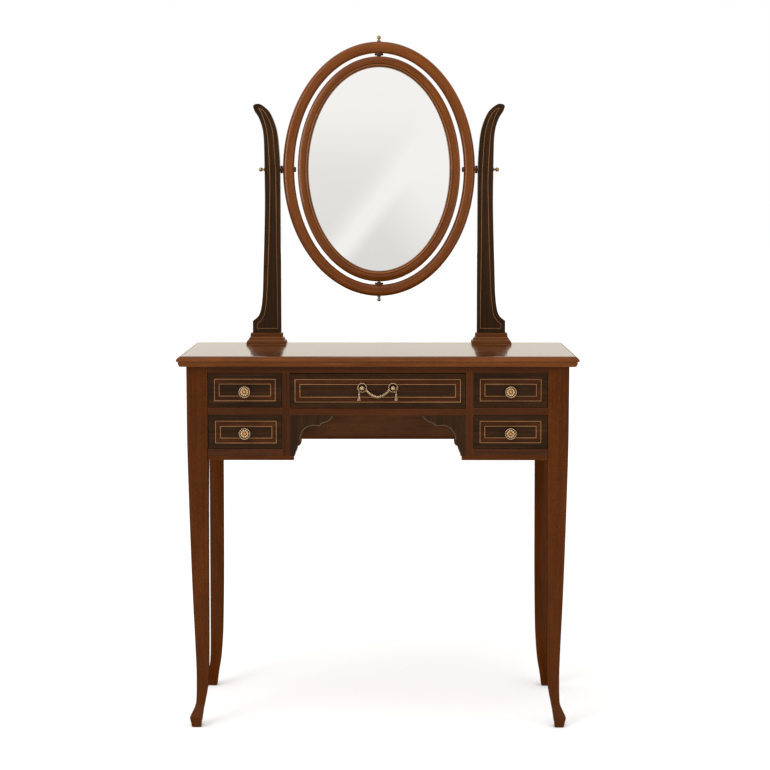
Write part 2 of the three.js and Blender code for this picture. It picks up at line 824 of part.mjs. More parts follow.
// A finial screw passes through the ring and the spacer into the frame.
function finialScrew(collarRadius, ballRadius, ballAt) {
  const tip = FRAME_HALF[1] - FRAME_HOLE_DEPTH + 1.5;
  const seat = RING_HALF[1] + GAP;
  const profile = [
    [0, tip],
    [SHAFT_RADIUS, tip],
    [SHAFT_RADIUS, seat],
    [collarRadius, seat],
    [collarRadius, seat + 1.5],
    [2, seat + 2.2],
    ...ballProfile(ballRadius, seat + ballAt),
  ];
  return turnedAlongZ(profile, 12);
}

addTo(mirrorGroup, 'top_finial_screw', finialScrew(4.7, 4.4, 8.6), BRASS);
addTo(mirrorGroup, 'bottom_finial_screw', finialScrew(4.4, 4.1, 8).scale(1, 1, -1), BRASS);

export default table;
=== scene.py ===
"""Looks of a kneehole dressing table with a swing mirror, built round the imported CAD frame.

Lengths and places are in millimetres until a mesh is made, where they become metres.
x runs to the right, y to the back and z up, with the origin on the floor.
"""

import math

import bmesh
import bpy
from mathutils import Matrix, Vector


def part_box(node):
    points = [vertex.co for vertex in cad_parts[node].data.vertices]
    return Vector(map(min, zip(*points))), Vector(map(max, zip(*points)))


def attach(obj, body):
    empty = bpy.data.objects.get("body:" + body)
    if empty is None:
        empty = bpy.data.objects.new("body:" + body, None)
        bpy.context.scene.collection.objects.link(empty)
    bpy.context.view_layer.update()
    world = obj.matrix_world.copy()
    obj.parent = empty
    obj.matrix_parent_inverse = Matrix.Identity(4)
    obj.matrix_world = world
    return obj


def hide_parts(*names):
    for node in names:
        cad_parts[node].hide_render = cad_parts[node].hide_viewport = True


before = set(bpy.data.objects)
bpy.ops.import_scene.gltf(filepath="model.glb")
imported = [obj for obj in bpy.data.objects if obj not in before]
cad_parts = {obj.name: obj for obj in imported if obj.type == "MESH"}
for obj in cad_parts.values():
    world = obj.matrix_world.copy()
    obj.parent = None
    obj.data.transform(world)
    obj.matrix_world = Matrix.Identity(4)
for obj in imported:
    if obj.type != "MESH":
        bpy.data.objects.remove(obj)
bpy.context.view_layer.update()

MM = 0.001
SIDES = {"left": -1, "right": 1}


def new_object(name, data):
    made = bpy.data.objects.new(name, data)
    bpy.context.scene.collection.objects.link(made)
    return made


# ---- camera, light and stage


def add_camera():
    """A long lens, a little right of the middle, that looks slightly down."""
    data = bpy.data.cameras.new("camera")
    data.sensor_width = 36
    data.lens = 94.38
    camera = new_object("camera", data)
    camera.location = (0.0358, -4.3876, 1.1288)
    camera.rotation_euler = (math.radians(90 - 5.438), 0, math.radians(0.281))
    bpy.context.scene.camera = camera


def area_light(name, place, target, size, power):
    data = bpy.data.lights.new(name, "AREA")
    data.shape = "RECTANGLE"
    data.size, data.size_y = size
    data.energy = power
    light = new_object(name, data)
    light.location = place
    aim = Vector(target) - Vector(place)
    light.rotation_euler = aim.to_track_quat("-Z", "Y").to_euler()
    return light


def add_lights():
    """A white room, a very soft sun from the front left, and boxes that glint in the polish."""
    world = bpy.data.worlds.new("studio")
    world.use_nodes = True
    background = world.node_tree.nodes["Background"].inputs
    background["Color"].default_value = (1, 1, 1, 1)
    background["Strength"].default_value = 1.0
    bpy.context.scene.world = world
    data = bpy.data.lights.new("sun", "SUN")
    data.energy = 1.1
    data.angle = math.radians(70)
    new_object("sun", data).rotation_euler = (math.radians(28), math.radians(-18), 0)
    area_light("key", (-2.4, -3.0, 3.2), (0, 0, 0.9), (1.4, 1.4), 26)
    left = area_light("left_softbox", (-3.0, -2.6, 1.7), (0, 0, 1.1), (1.5, 2.4), 88)
    left.visible_diffuse = False
    area_light("right_softbox", (3.4, -2.6, 1.2), (0, 0, 0.8), (1.5, 2.4), 22)


def stage_plane(name, corners, material):
    mesh = bpy.data.meshes.new(name)
    mesh.from_pydata(corners, [], [(0, 1, 2, 3)])
    mesh.materials.append(material)
    plane = new_object(name, mesh)
    return plane


def add_stage():
    """A pale floor, and cards that only show in glossy surfaces, as painted reflections: dark ones
    over the floor and low behind the table, a warm one above that, and a pale one in front for the
    mirror."""
    far = 40
    corners = [(-far, -far, 0), (far, -far, 0), (far, far, 0), (-far, far, 0)]
    stage_plane("floor", corners, floor_paint())
    cards = {
        "dark_floor": (dark_cloth(), (-9, -0.15, 0.004), (9, 4, 0.004)),
        "dark_skirting": (dark_cloth(), (-9, 4, 0), (9, 4, 0.88)),
        "warm_backdrop": (warm_card_paint(), (-9, 4.01, 0.88), (9, 4.01, 7)),
        "mirror_card": (mirror_card_paint(), (-2.4, -6, 0.3), (2.4, -6, 3)),
    }
    for name, (paint, low, high) in cards.items():
        corners = [low, (high[0], low[1], low[2]), high, (low[0], high[1], high[2])]
        card = stage_plane(name, corners, paint)
        card.visible_camera = False
        card.visible_diffuse = False
        card.visible_shadow = False


# ---- materials


class Graph:
    """A material's node tree, built one node at a time."""

    def __init__(self, name):
        self.material = bpy.data.materials.new(name)
        self.material.use_nodes = True
        self.tree = self.material.node_tree
        self.shader = self.tree.nodes["Principled BSDF"]

    def node(self, kind, inputs=None, **settings):
        made = self.tree.nodes.new("ShaderNode" + kind)
        for key, value in settings.items():
            setattr(made, key, value)
        for key, value in (inputs or {}).items():
            self.put(made.inputs[key], value)
        return made

    def put(self, socket, value):
        if isinstance(value, bpy.types.NodeSocket):
            self.tree.links.new(value, socket)
        else:
            socket.default_value = value

    def surface(self, **inputs):
        for key, value in inputs.items():
            self.put(self.shader.inputs[key.replace("_", " ")], value)

    def stretched(self, vector, factors):
        return self.node("VectorMath", {0: vector, 1: factors}, operation="MULTIPLY").outputs[0]

    def noise(self, vector, scale, detail=4, roughness=0.55, distortion=0.0):
        inputs = {
            "Vector": vector,
            "Scale": scale,
            "Detail": detail,
            "Roughness": roughness,
            "Distortion": distortion,
        }
        return self.node("TexNoise", inputs).outputs[0]

    def span(self, value, low, high, to_low=0.0, to_high=1.0):
        inputs = {0: value, 1: low, 2: high, 3: to_low, 4: to_high}
        return self.node("MapRange", inputs).outputs[0]

    def math(self, operation, first, second):
        return self.node("Math", {0: first, 1: second}, operation=operation).outputs[0]

    def plus(self, first, second):
        return self.math("ADD", first, second)

    def times(self, first, second):
        return self.math("MULTIPLY", first, second)

    def mix(self, factor, first, second):
        made = self.node("Mix", data_type="RGBA")
        self.put(made.inputs[0], factor)
        self.put(made.inputs[6], first)
        self.put(made.inputs[7], second)
        return made.outputs[2]

    def bump(self, height, strength, distance=0.0004):
        inputs = {"Height": height, "Strength": strength, "Distance": distance}
        self.put(self.shader.inputs["Normal"], self.node("Bump", inputs).outputs[0])

    def object_place(self):
        return self.node("TexCoord").outputs["Object"]

    def worn_edges(self, radius):
        """0 on flat faces, up to 1 along sharp edges, where the edge tone lays rubbing and painted
        highlight lines.
        """
        softened = self.node("Bevel", {"Radius": radius}, samples=4).outputs[0]
        plain = self.node("NewGeometry").outputs["Normal"]
        facing = self.node("VectorMath", {0: softened, 1: plain}, operation="DOT_PRODUCT")
        return self.span(facing.outputs["Value"], 0.97, 0.80)


def color(red, green, blue):
    """A colour given in 0-255 display values, as the linear colour Blender wants."""
    linear = [
        c / 255 / 12.92 if c <= 10 else ((c / 255 + 0.055) / 1.055) ** 2.4
        for c in (red, green, blue)
    ]
    return (*linear, 1)


def along_grain(graph, grain):
    """Coordinates whose first axis runs with the grain, shifted for each piece."""
    if grain == "path":
        place = graph.node("UVMap", uv_map="grain").outputs[0]
    else:
        split = graph.node("SeparateXYZ", {0: graph.object_place()}).outputs
        order = {"x": (0, 1, 2), "y": (1, 0, 2), "z": (2, 0, 1)}[grain]
        place = graph.node("CombineXYZ", {k: split[order[k]] for k in range(3)}).outputs[0]
    luck = graph.node("ObjectInfo").outputs["Random"]
    shift = graph.node("CombineXYZ", {0: luck, 1: luck, 2: luck}).outputs[0]
    far = graph.stretched(shift, (3.0, 7.0, 5.0))
    return graph.node("VectorMath", {0: place, 1: far}, operation="ADD").outputs[0]


def wood(name, grain, shades, gloss=0.3, coat=0.5, figure=1.0, pores=1.0, wear=0.35, level=0.08,
         arris=0.0025, streak=0.75, fleck=0.2, coat_ior=1.15):
    """Figured wood under polish. shades are the dark, middle, light and edge tones; the edge tone
    on the arrises stands for rubbing and painted highlight lines.
    """
    dark, middle, light, edge = shades
    graph = Graph(name)
    place = along_grain(graph, grain)
    # each noise is finer or coarser along the grain (first number) than across it
    broad = graph.noise(graph.stretched(place, (1.6, 11, 11)), 1.0, 5, 0.6, 0.9 * figure)
    streaks = graph.noise(graph.stretched(place, (5, 190, 190)), 1.0, 6, 0.65, 0.35)
    mottle = graph.noise(graph.stretched(place, (22, 40, 40)), 1.0, 3, 0.5, 0.6 * figure)
    fine = graph.noise(graph.stretched(place, (70, 1500, 1500)), 1.0, 2, 0.5)
    flecks = graph.noise(graph.stretched(place, (620, 210, 210)), 1.0, 2, 0.5, 0.3)
    tone = graph.mix(graph.span(broad, 0.32, 0.68), dark, middle)
    tone = graph.mix(graph.span(streaks, 0.42, 0.72, 0, streak), tone, light)
    tone = graph.mix(graph.span(mottle, 0.45, 0.75, 0, 0.35 * figure), tone, dark)
    tone = graph.mix(graph.span(flecks, 0.45, 0.65, 0, fleck), tone, dark)
    pore = graph.span(fine, 0.56, 0.70, 0, pores)
    tone = graph.mix(graph.times(pore, 0.55), tone, dark)
    # The edge tone goes on along the arrises: partly rubbing, partly painted highlight lines.
    wear_and_sheen = graph.times(graph.worn_edges(arris), wear)
    tone = graph.mix(wear_and_sheen, tone, edge)
    rough = graph.span(streaks, 0.3, 0.7, gloss - 0.05, gloss + 0.07)
    graph.surface(
        Base_Color=tone,
        Roughness=rough,
        Specular_IOR_Level=level,
        Specular_Tint=(1, 0.55, 0.28, 1),
        Coat_Weight=coat,
        Coat_Roughness=0.07,
        Coat_IOR=coat_ior,
    )
    height = graph.math("SUBTRACT", graph.times(streaks, 0.4), pore)
    graph.bump(height, 0.16)
    return graph.material


def metal(name, bright, dull, polish, relief):
    """Cast or turned metal, duller in clouds and, with relief, darkened in its hollows with painted
    shade.
    """
    graph = Graph(name)
    place = graph.object_place()
    cloud = graph.noise(place, 90, 4, 0.6)
    grit = graph.noise(place, 900, 3, 0.6)
    shade = graph.span(cloud, 0.3, 0.7, 0.0, 0.45)
    if relief:
        # Deep points are darkened towards the darker tone: painted shade in the relief's hollows
        # and where strands meet.
        depth = graph.node("Attribute", attribute_name="depth").outputs["Fac"]
        shade = graph.math("MAXIMUM", graph.times(shade, 0.6), depth)
    graph.surface(
        Base_Color=graph.mix(shade, bright, dull),
        Metallic=1.0,
        Roughness=graph.span(cloud, 0.25, 0.75, polish, polish + 0.16),
    )
    graph.bump(grit, 0.08, 0.0002)
    return graph.material


def mirror_silver(name):
    graph = Graph(name)
    haze = graph.noise(graph.object_place(), 3.5, 3, 0.5)
    clear, misted = color(246, 247, 247), color(241, 243, 243)
    graph.surface(
        Base_Color=graph.mix(graph.span(haze, 0.3, 0.7), clear, misted),
        Metallic=1.0,
        Roughness=graph.span(haze, 0.35, 0.75, 0.0, 0.03),
    )
    return graph.material


def floor_paint():
    graph = Graph("floor_paint")
    cloud = graph.noise(graph.object_place(), 2.0, 4, 0.5)
    graph.surface(
        Base_Color=graph.mix(cloud, (0.91, 0.91, 0.91, 1), (0.93, 0.93, 0.925, 1)),
        Roughness=0.7,
        Specular_IOR_Level=0.1,
    )
    return graph.material


# A dark sheet seen only in reflections: painted dark reflections.
def dark_cloth():
    graph = Graph("dark_cloth")
    graph.surface(Base_Color=(0.062, 0.026, 0.011, 1), Roughness=1.0, Specular_IOR_Level=0.0)
    return graph.material


def glow(graph, tint, light):
    """Turns a material into a glowing surface that only shows its own tint and brightness; the
    cards glow this way only in reflections, as painted reflections.
    """
    shine = graph.node("Emission", {"Color": tint, "Strength": light})
    out = graph.tree.nodes["Material Output"]
    graph.tree.links.new(shine.outputs[0], out.inputs["Surface"])
    return graph.material


# A warm glow seen only in reflections: a painted reflection above the back of the table.
def warm_card_paint():
    graph = Graph("warm_card_paint")
    cloud = graph.noise(graph.object_place(), 0.6, 2, 0.5)
    return glow(graph, (1, 0.92, 0.81, 1), graph.span(cloud, 0.3, 0.7, 0.86, 0.92))


def mirror_card_paint():
    """A painted reflection for the mirror: brighter upwards and to the right, with a soft brighter
    streak on a slant.
    """
    graph = Graph("mirror_card_paint")
    x, _, z = graph.node("SeparateXYZ", {0: graph.object_place()}).outputs
    low, middle_height, top = 0.79, 1.257, 1.6
    light = graph.span(z, low, middle_height, 0.722, 0.782)
    light = graph.plus(light, graph.span(z, middle_height, top, 0, 0.122))
    # slant is the distance from the streak's own line, which leans at 37 degrees
    across = graph.times(graph.plus(x, 0.1096), 0.799)
    rise = graph.times(graph.math("SUBTRACT", z, 1.0238), 0.602)
    slant = graph.math("SUBTRACT", across, rise)
    # the streak comes up slowly on its left side, ends sharply on its right, and fades upwards
    before = graph.math("POWER", graph.span(slant, -0.13, -0.015), 1.5)
    streak = graph.times(before, graph.span(slant, 0.10, 0.03))
    streak = graph.times(streak, graph.span(z, 0.9, 1.5, 0.165, 0.055))
    light = graph.plus(light, streak)
    # right of the streak the card goes on getting brighter towards its upper corner
    right = graph.plus(graph.times(x, 0.338), 0.0137)
    upper = graph.times(graph.math("SUBTRACT", z, 0.946), 0.22)
    corner = graph.span(graph.plus(right, upper), 0, 0.112, 0, 0.112)
    corner = graph.times(corner, graph.span(slant, 0, 0.1))
    brightest, gain = 0.893, 1.1
    light = graph.math("MINIMUM", graph.plus(light, corner), brightest)
    return glow(graph, (1, 0.973, 0.944, 1), graph.times(light, gain))


def shades(*tones):
    """Dark, middle, light and edge tones, given as display values; the edge tone is rubbing and
    painted highlight lines on arrises.
    """
    return tuple(color(*tone) for tone in tones)


MAHOGANY_SHADES = shades((53, 22, 3), (81, 38, 7), (98, 49, 12), (112, 62, 28))
# Darker than the legs' mahogany: painted shade under the top's overhang.
CASE_PAINTED_SHADE_TONES = shades((44, 20, 8), (68, 34, 13), (84, 43, 18), (110, 64, 32))
# Lighter than the legs' mahogany: painted light, as the mirror's ring and frame stand high and
# curved into the light.
OVAL_LIT_TONES = shades((76, 34, 5), (112, 57, 12), (142, 80, 24), (150, 96, 54))
# The plinths: lighter than the legs' mahogany, with a bright edge tone for painted highlight lines
# along their arrises.
PLINTH_SHADES = shades((70, 36, 14), (95, 52, 22), (114, 66, 32), (164, 112, 72))
# Painted shade for the inner frame's groove and inner step, and painted highlight lines for its
# bead and inner bevel.
OVAL_PAINTED_SHADE_TONES = shades((46, 22, 9), (64, 32, 13), (80, 44, 20), (110, 68, 36))
OVAL_PAINTED_HIGHLIGHT_TONES = shades((98, 56, 26), (126, 76, 42), (142, 90, 54), (160, 108, 72))
PANEL_SHADES = shades((60, 36, 20), (102, 62, 30), (130, 80, 38), (120, 80, 46))
RAIL_SHADES = shades((38, 22, 13), (72, 36, 18), (88, 45, 22), (112, 70, 42))
# The brackets' pale edge line: a painted highlight.
BRACKET_PAINTED_HIGHLIGHT_TONES = shades((84, 72, 56), (124, 108, 86), (146, 128, 104), (150, 134, 112))
# The top's nose and fillet: lighter than the flat's mahogany, with a bright edge tone for painted
# highlight lines along the arrises.
EDGE_SHADES = shades((76, 38, 14), (104, 56, 22), (124, 70, 32), (168, 116, 72))
DARK_SHADES = shades((25, 16, 8), (44, 28, 15), (64, 37, 18), (86, 58, 38))
BAND_SHADES = shades((32, 17, 7), (60, 30, 13), (82, 43, 19), (96, 58, 34))
PALE_SHADES = shades((150, 112, 74), (182, 142, 98), (200, 164, 120), (206, 172, 130))
STRING_SHADES = shades((118, 80, 48), (152, 108, 70), (176, 132, 90), (172, 130, 90))

# Unpolished wood has no coat, and inlaid stringing shows little pore and only faint edge lines of
# rubbing and painted highlight.
BARE = dict(coat=0.0, pores=0.8, wear=0.2, level=0.3)
INLAY = dict(gloss=0.32, coat=0.4, figure=0.5, pores=0.4, wear=0.1)
FRONTS = dict(gloss=0.32, coat=0.4, figure=1.6, level=0.06)

# Each wood: which way its grain runs, its tones, and what else differs from plain polish.
WOODS = {
    "mahogany_x": ("x", MAHOGANY_SHADES, {}),
    "mahogany_y": ("y", MAHOGANY_SHADES, {}),
    "mahogany_path": (
        "path", MAHOGANY_SHADES, dict(gloss=0.28, pores=1.5, streak=0.5, fleck=0.6)
    ),
    # The mirror's ring and frame: a lighter copy of the mahogany, as painted light.
    "mahogany_oval": (
        "path", OVAL_LIT_TONES,
        dict(gloss=0.26, coat=1.0, pores=0.7, streak=0.5, fleck=0.35, coat_ior=1.22)
    ),
    # Its strong edge lines are painted highlights on the nose.
    "mahogany_edge": ("x", EDGE_SHADES, dict(wear=0.8, arris=0.0016)),
    "mahogany_top": ("x", MAHOGANY_SHADES, dict(gloss=0.22, coat=1.0, level=0.4)),
    # Painted shade and painted highlight lines on the inner frame's lip.
    "oval_lip": ("path", OVAL_PAINTED_SHADE_TONES, dict(coat=0.6, pores=0.5)),
    "oval_line": ("path", OVAL_PAINTED_HIGHLIGHT_TONES, dict(coat=0.6, pores=0.5)),
    # The case rails and partition: a darker copy of the mahogany, as painted shade.
    "case_x": ("x", CASE_PAINTED_SHADE_TONES, dict(streak=0.5, fleck=0.3)),
    "case_z": ("z", CASE_PAINTED_SHADE_TONES, dict(streak=0.5, fleck=0.3)),
    "rail_x": ("x", RAIL_SHADES, dict(figure=1.6)),
    "panel_x": ("x", PANEL_SHADES, dict(figure=1.8, streak=0.3, fleck=0.3)),
    # Its strong edge lines are painted highlights on the moulding.
    "plinth_x": ("x", PLINTH_SHADES, dict(wear=0.85, arris=0.0014, streak=0.5)),
    "rosewood_x": ("x", DARK_SHADES, FRONTS),
    "rosewood_z": ("z", DARK_SHADES, dict(figure=1.2)),
    "band_x": ("x", BAND_SHADES, FRONTS),
    "string_x": ("x", STRING_SHADES, INLAY),
    "string_path": ("path", STRING_SHADES, INLAY),
    # The brackets' edge line is a painted highlight.
    "bracket_line": (
        "path", BRACKET_PAINTED_HIGHLIGHT_TONES, dict(gloss=0.4, coat=0.3, figure=0.5, pores=0.4, wear=0.1)
    ),
    "pale_x": ("x", PALE_SHADES, dict(gloss=0.5, figure=0.7, **BARE)),
    "pale_y": ("y", PALE_SHADES, dict(gloss=0.5, figure=0.7, **BARE)),
    "backing": ("z", PALE_SHADES, dict(gloss=0.6, figure=0.8, **BARE)),
}

# Each metal: its bright and darker tones, its polish, and whether its hollows are darkened to the
# darker tone with painted shade.
METALS = {
    "brass": (color(150, 126, 78), color(84, 68, 40), 0.3, False),
    # A darker, greyer brass for the bottom finial: painted shade, as it hangs in shadow under the
    # ring.
    "dull_brass": (color(128, 118, 100), color(66, 58, 46), 0.3, False),
    "gold": (color(184, 132, 70), color(22, 13, 6), 0.24, True),
    "champagne": (color(200, 168, 130), color(13, 8, 5), 0.24, True),
    "bronze": (color(74, 47, 36), color(42, 28, 22), 0.46, False),
}

MATERIALS = {}


def material(name):
    """Each material is made once, when it is first used."""
    if name not in MATERIALS:
        if name in WOODS:
            grain, tones, settings = WOODS[name]
            MATERIALS[name] = wood(name, grain, tones, **settings)
        elif name in METALS:
            MATERIALS[name] = metal(name, *METALS[name])
        elif name == "mirror_silver":
            MATERIALS[name] = mirror_silver(name)
    return MATERIALS[name]


# ---- mesh building


class Shell:
    """Collects meshes in millimetres, with a material and grain coordinates for each face."""

    def __init__(self):
        self.points = []
        self.faces = []
        self.slots = []
        self.grain = []
        self.depth = []

    def add(self, points, faces, slot=0, grain=None, depth=0.0):
        start = len(self.points)
        self.points += points
        self.faces += [tuple(start + k for k in face) for face in faces]
        self.slots += slot if isinstance(slot, list) else [slot] * len(faces)
        self.grain += grain or [[(0, 0)] * len(face) for face in faces]
        self.depth += depth if isinstance(depth, list) else [depth] * len(points)

    def skin(self, rings, loop=False, slots=0, depth=0.0):
        """A skin over rings of equally many points. slots is one material, or one for each band."""
        count = len(rings[0])
        if isinstance(slots, int):
            slots = [slots] * len(rings)
        around = [0.0]
        for k in range(count):
            around.append(around[-1] + math.dist(rings[0][k], rings[0][(k + 1) % count]))
        along = [0.0]
        for ring, after in zip(rings, rings[1:] + rings[:1]):
            along.append(along[-1] + math.dist(ring[0], after[0]))
        faces, grain, face_slots = [], [], []
        for r in range(len(rings) if loop else len(rings) - 1):
            for k in range(count):
                near, far, after = r * count, (r + 1) % len(rings) * count, (k + 1) % count
                faces.append((near + k, near + after, far + after, far + k))
                grain.append([
                    (along[r], around[k]),
                    (along[r], around[k + 1]),
                    (along[r + 1], around[k + 1]),
                    (along[r + 1], around[k]),
                ])
                face_slots.append(slots[r])
        if not loop:
            last = (len(rings) - 1) * count
            faces.append(tuple(range(count)))
            faces.append(tuple(range(last, last + count)))
            grain += [[(p[0], p[2]) for p in ring] for ring in (rings[0], rings[-1])]
            face_slots += [slots[0], slots[-1]]
        points = [p for ring in rings for p in ring]
        self.add(points, faces, face_slots, grain, depth)

    def make(self, name, materials, body, replaces=(), slot=None, sharp=32):
        """Makes the piece, which rides its body and stands in for the CAD nodes it replaces.
        Edges that turn by more than sharp degrees stay crisp."""
        mesh = bpy.data.meshes.new(name)
        mesh.from_pydata([[c * MM for c in p] for p in self.points], [], self.faces)
        layer = mesh.uv_layers.new(name="grain")
        corners = [corner for face in self.grain for corner in face]
        for loop, (along, around) in zip(layer.data, corners):
            loop.uv = (along * MM, around * MM)
        # Each point's depth, which the metals turn into painted shade in hollows.
        depth = mesh.attributes.new("depth", "FLOAT", "POINT")
        depth.data.foreach_set("value", self.depth)
        for polygon, number in zip(mesh.polygons, self.slots):
            polygon.material_index = number
        for one in materials:
            mesh.materials.append(material(one))
        work = bmesh.new()
        work.from_mesh(mesh)
        bmesh.ops.recalc_face_normals(work, faces=work.faces)
        work.to_mesh(mesh)
        work.free()
        mesh.shade_smooth()
        mesh.set_sharp_from_angle(angle=math.radians(sharp))
        made = new_object(name, mesh)
        made.modifiers.new("flat_faces", "WEIGHTED_NORMAL").keep_sharp = True
        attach(made, body)
        for node in replaces:
            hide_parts(node)
        return made


def box_mm(node):
    low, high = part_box(node)
    return [c / MM for c in low], [c / MM for c in high]


def middle(node):
    low, high = box_mm(node)
    return [(a + b) / 2 for a, b in zip(low, high)]


def lerp(a, b, t):
    return a + (b - a) * t


def smooth(points, per=8):
    """A curve through the points (Catmull-Rom), with per steps between neighbours."""
    padded = [points[0]] + list(points) + [points[-1]]
    out = []
    for k in range(1, len(padded) - 2):
        before, start, end, after = padded[k - 1:k + 3]
        for step in range(per):
            t = step / per
            out.append(tuple(
                0.5 * (2 * b + (c - a) * t + (2 * a - 5 * b + 4 * c - d) * t * t
                       + (3 * b - a - 3 * c + d) * t ** 3)
                for a, b, c, d in zip(before, start, end, after)
            ))
    out.append(tuple(points[-1]))
    return out


def full_turn(count):
    """Angles that share a circle out evenly."""
    return [2 * math.pi * k / count for k in range(count)]


def arc(centre_a, centre_b, radius, start, end, steps):
    """Points round part of a circle, with angles in degrees."""
    turns = [math.radians(lerp(start, end, k / steps)) for k in range(steps + 1)]
    return [(centre_a + radius * math.cos(t), centre_b + radius * math.sin(t)) for t in turns]


def rounded_rectangle(x0, x1, y0, y1, radius, steps=3):
    corners = [(x1, y1, 0), (x0, y1, 90), (x0, y0, 180), (x1, y0, 270)]
    out = []
    for x, y, turn in corners:
        centre_x = x - radius if x == x1 else x + radius
        centre_y = y - radius if y == y1 else y + radius
        out += arc(centre_x, centre_y, radius, turn, turn + 90, steps)
    return out


def level_ring(x0, x1, y0, y1, z, radius, steps=3):
    return [(x, y, z) for x, y in rounded_rectangle(x0, x1, y0, y1, radius, steps)]


def moulded(low, high, profile, radius):
    """Rings for a moulded edge round a box. Each row: how far in, and the height."""
    return [
        level_ring(low[0] + i, high[0] - i, low[1] + i, high[1] - i, z, radius)
        for i, z in profile
    ]


def inset_outline(outline, inset):
    """Moves a closed outline inwards (it runs anticlockwise), mitring its corners."""
    out = []
    count = len(outline)
    for k in range(count):
        a, b, c = outline[k - 1], outline[k], outline[(k + 1) % count]
        first = Vector((b[0] - a[0], b[1] - a[1])).normalized()
        second = Vector((c[0] - b[0], c[1] - b[1])).normalized()
        normal = Vector((-first.y - second.y, first.x + second.x))
        normal = normal.normalized() if normal.length > 1e-6 else Vector((-first.y, first.x))
        stretch = max(0.5, normal.dot(Vector((-first.y, first.x))))
        out.append((b[0] + normal.x * inset / stretch, b[1] + normal.y * inset / stretch))
    return out


def anticlockwise(outline):
    area = sum(a[0] * b[1] - b[0] * a[1] for a, b in zip(outline, outline[1:] + outline[:1]))
    return outline if area > 0 else outline[::-1]


def slab(outline, front, back, bevel, steps=2):
    """Rings for a board with an outline in x and z, and rounded arrises."""
    outline = anticlockwise(outline)
    rings = []
    for y, side in ((front, 1), (back, -1)):
        part = []
        for k in range(steps + 1):
            turn = math.radians(90 * k / steps)
            inset = bevel * (1 - math.sin(turn))
            depth = bevel * (1 - math.cos(turn))
            part.append([(x, y + side * depth, z) for x, z in inset_outline(outline, inset)])
        rings += part if side > 0 else part[::-1]
    return rings


def ribbon(shell, line, width, face, proud, closed=False, slot=0):
    """A thin strip along a line in x and z, standing a hair proud of the face: inlaid stringing on
    the drawers and posts, a painted highlight line on the brackets.
    """
    count = len(line)
    left, right = [], []
    for k in range(count):
        a = line[k - 1] if k or closed else line[0]
        c = line[(k + 1) % count] if k < count - 1 or closed else line[-1]
        b = line[k]
        first = Vector((b[0] - a[0], b[1] - a[1]))
        second = Vector((c[0] - b[0], c[1] - b[1]))
        first = first.normalized() if first.length else second.normalized()
        second = second.normalized() if second.length else first
        normal = Vector((-first.y - second.y, first.x + second.x)).normalized()
        reach = width / 2 / max(0.45, normal.dot(Vector((-first.y, first.x))))
        left.append((b[0] + normal.x * reach, b[1] + normal.y * reach))
        right.append((b[0] - normal.x * reach, b[1] - normal.y * reach))
    rings = []
    for (lx, lz), (rx, rz) in zip(left, right):
        mid = ((lx + rx) / 2, (lz + rz) / 2)
        rings.append([
            (lx, face + 0.25, lz),
            (lerp(lx, mid[0], 0.15), face - proud, lerp(lz, mid[1], 0.15)),
            (lerp(rx, mid[0], 0.15), face - proud, lerp(rz, mid[1], 0.15)),
            (rx, face + 0.25, rz),
        ])
    shell.skin(rings, loop=closed, slots=slot)


def turned(shell, profile, place, axis, sides=40, slot=0, depth=0.0):
    """A turned piece. profile is (radius, distance along the axis); axis is a letter with an
    optional minus sign. Its ends lie on the axis."""
    sign = -1 if axis[0] == "-" else 1
    letter = axis[-1]
    rings = []
    for radius, along in profile:
        ring = []
        for angle in full_turn(sides):
            a, b = radius * math.cos(angle), radius * math.sin(angle)
            x, y, z = {
                "x": (sign * along, a, b),
                "y": (a, sign * along, b),
                "z": (a, b, sign * along),
            }[letter]
            ring.append((place[0] + x, place[1] + y, place[2] + z))
        rings.append(ring)
    shell.skin(rings, slots=slot, depth=depth)


def ball(radius, centre, start=20, end=176, steps=12):
    """Profile points of a ball from near its start to its far pole."""
    angles = [math.radians(lerp(start, end, k / steps)) for k in range(steps + 1)]
    return [(radius * math.sin(t), centre - radius * math.cos(t)) for t in angles]


# ---- CAD boards kept as they are


def polish_boards():
    """Plain boards keep their CAD mesh, with their arrises taken off and wood on them."""
    grain = {
        "side_panel": "mahogany_y",
        "partition": "case_z",
        "back_panel": "panel_x",
        "back_bottom_rail": "mahogany_x",
        "front_top_rail": "case_x",
        "divider_rail": "case_x",
        "centre_rail": "case_x",
        "mid_board": "pale_x",
        "bottom_board": "pale_x",
        "centre_board": "pale_x",
    }
    for node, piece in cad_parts.items():
        kind = node.replace("left_", "").replace("right_", "")
        if kind not in grain:
            continue
        piece.data.materials.clear()
        piece.data.materials.append(material(grain[kind]))
        arris = piece.modifiers.new("arris", "BEVEL")
        arris.width = 0.7 * MM
        arris.segments = 2
        arris.limit_method = "ANGLE"
        arris.harden_normals = False


# ---- top


def make_top():
    """One board: its flat and the start of its nose are polished, and below the nose a shallow
    groove and a fillet run round its edge."""
    low, high = box_mm("table_top")
    ledge = low[2] + 11.2
    nose = [(1.35 * i, high[2] + d) for i, d in arc(10, -10, 10, 90, 172, 12)]
    profile = [
        (15, high[2]), *nose, (0, ledge + 1.8), (0.4, ledge + 0.7), (1.3, ledge - 0.1),
        (2.8, ledge - 0.8), (4.6, ledge - 1.1), (4.8, ledge - 1.5), (4.6, ledge - 1.9),
        (3.9, ledge - 2.1), (3.6, ledge - 2.7), (3.9, ledge - 4.6), (4.6, ledge - 6.8),
        (5.4, ledge - 8.8), (6.2, ledge - 10.3), (7.4, low[2]),
    ]
    rings = moulded(low, high, profile, 1.6)
    shell = Shell()
    polished = 4
    shell.skin(rings, slots=[0] * polished + [1] * (len(rings) - polished))
    materials = ["mahogany_top", "mahogany_edge"]
    shell.make("top_board", materials, "root", ["table_top"], "mahogany")


# ---- legs

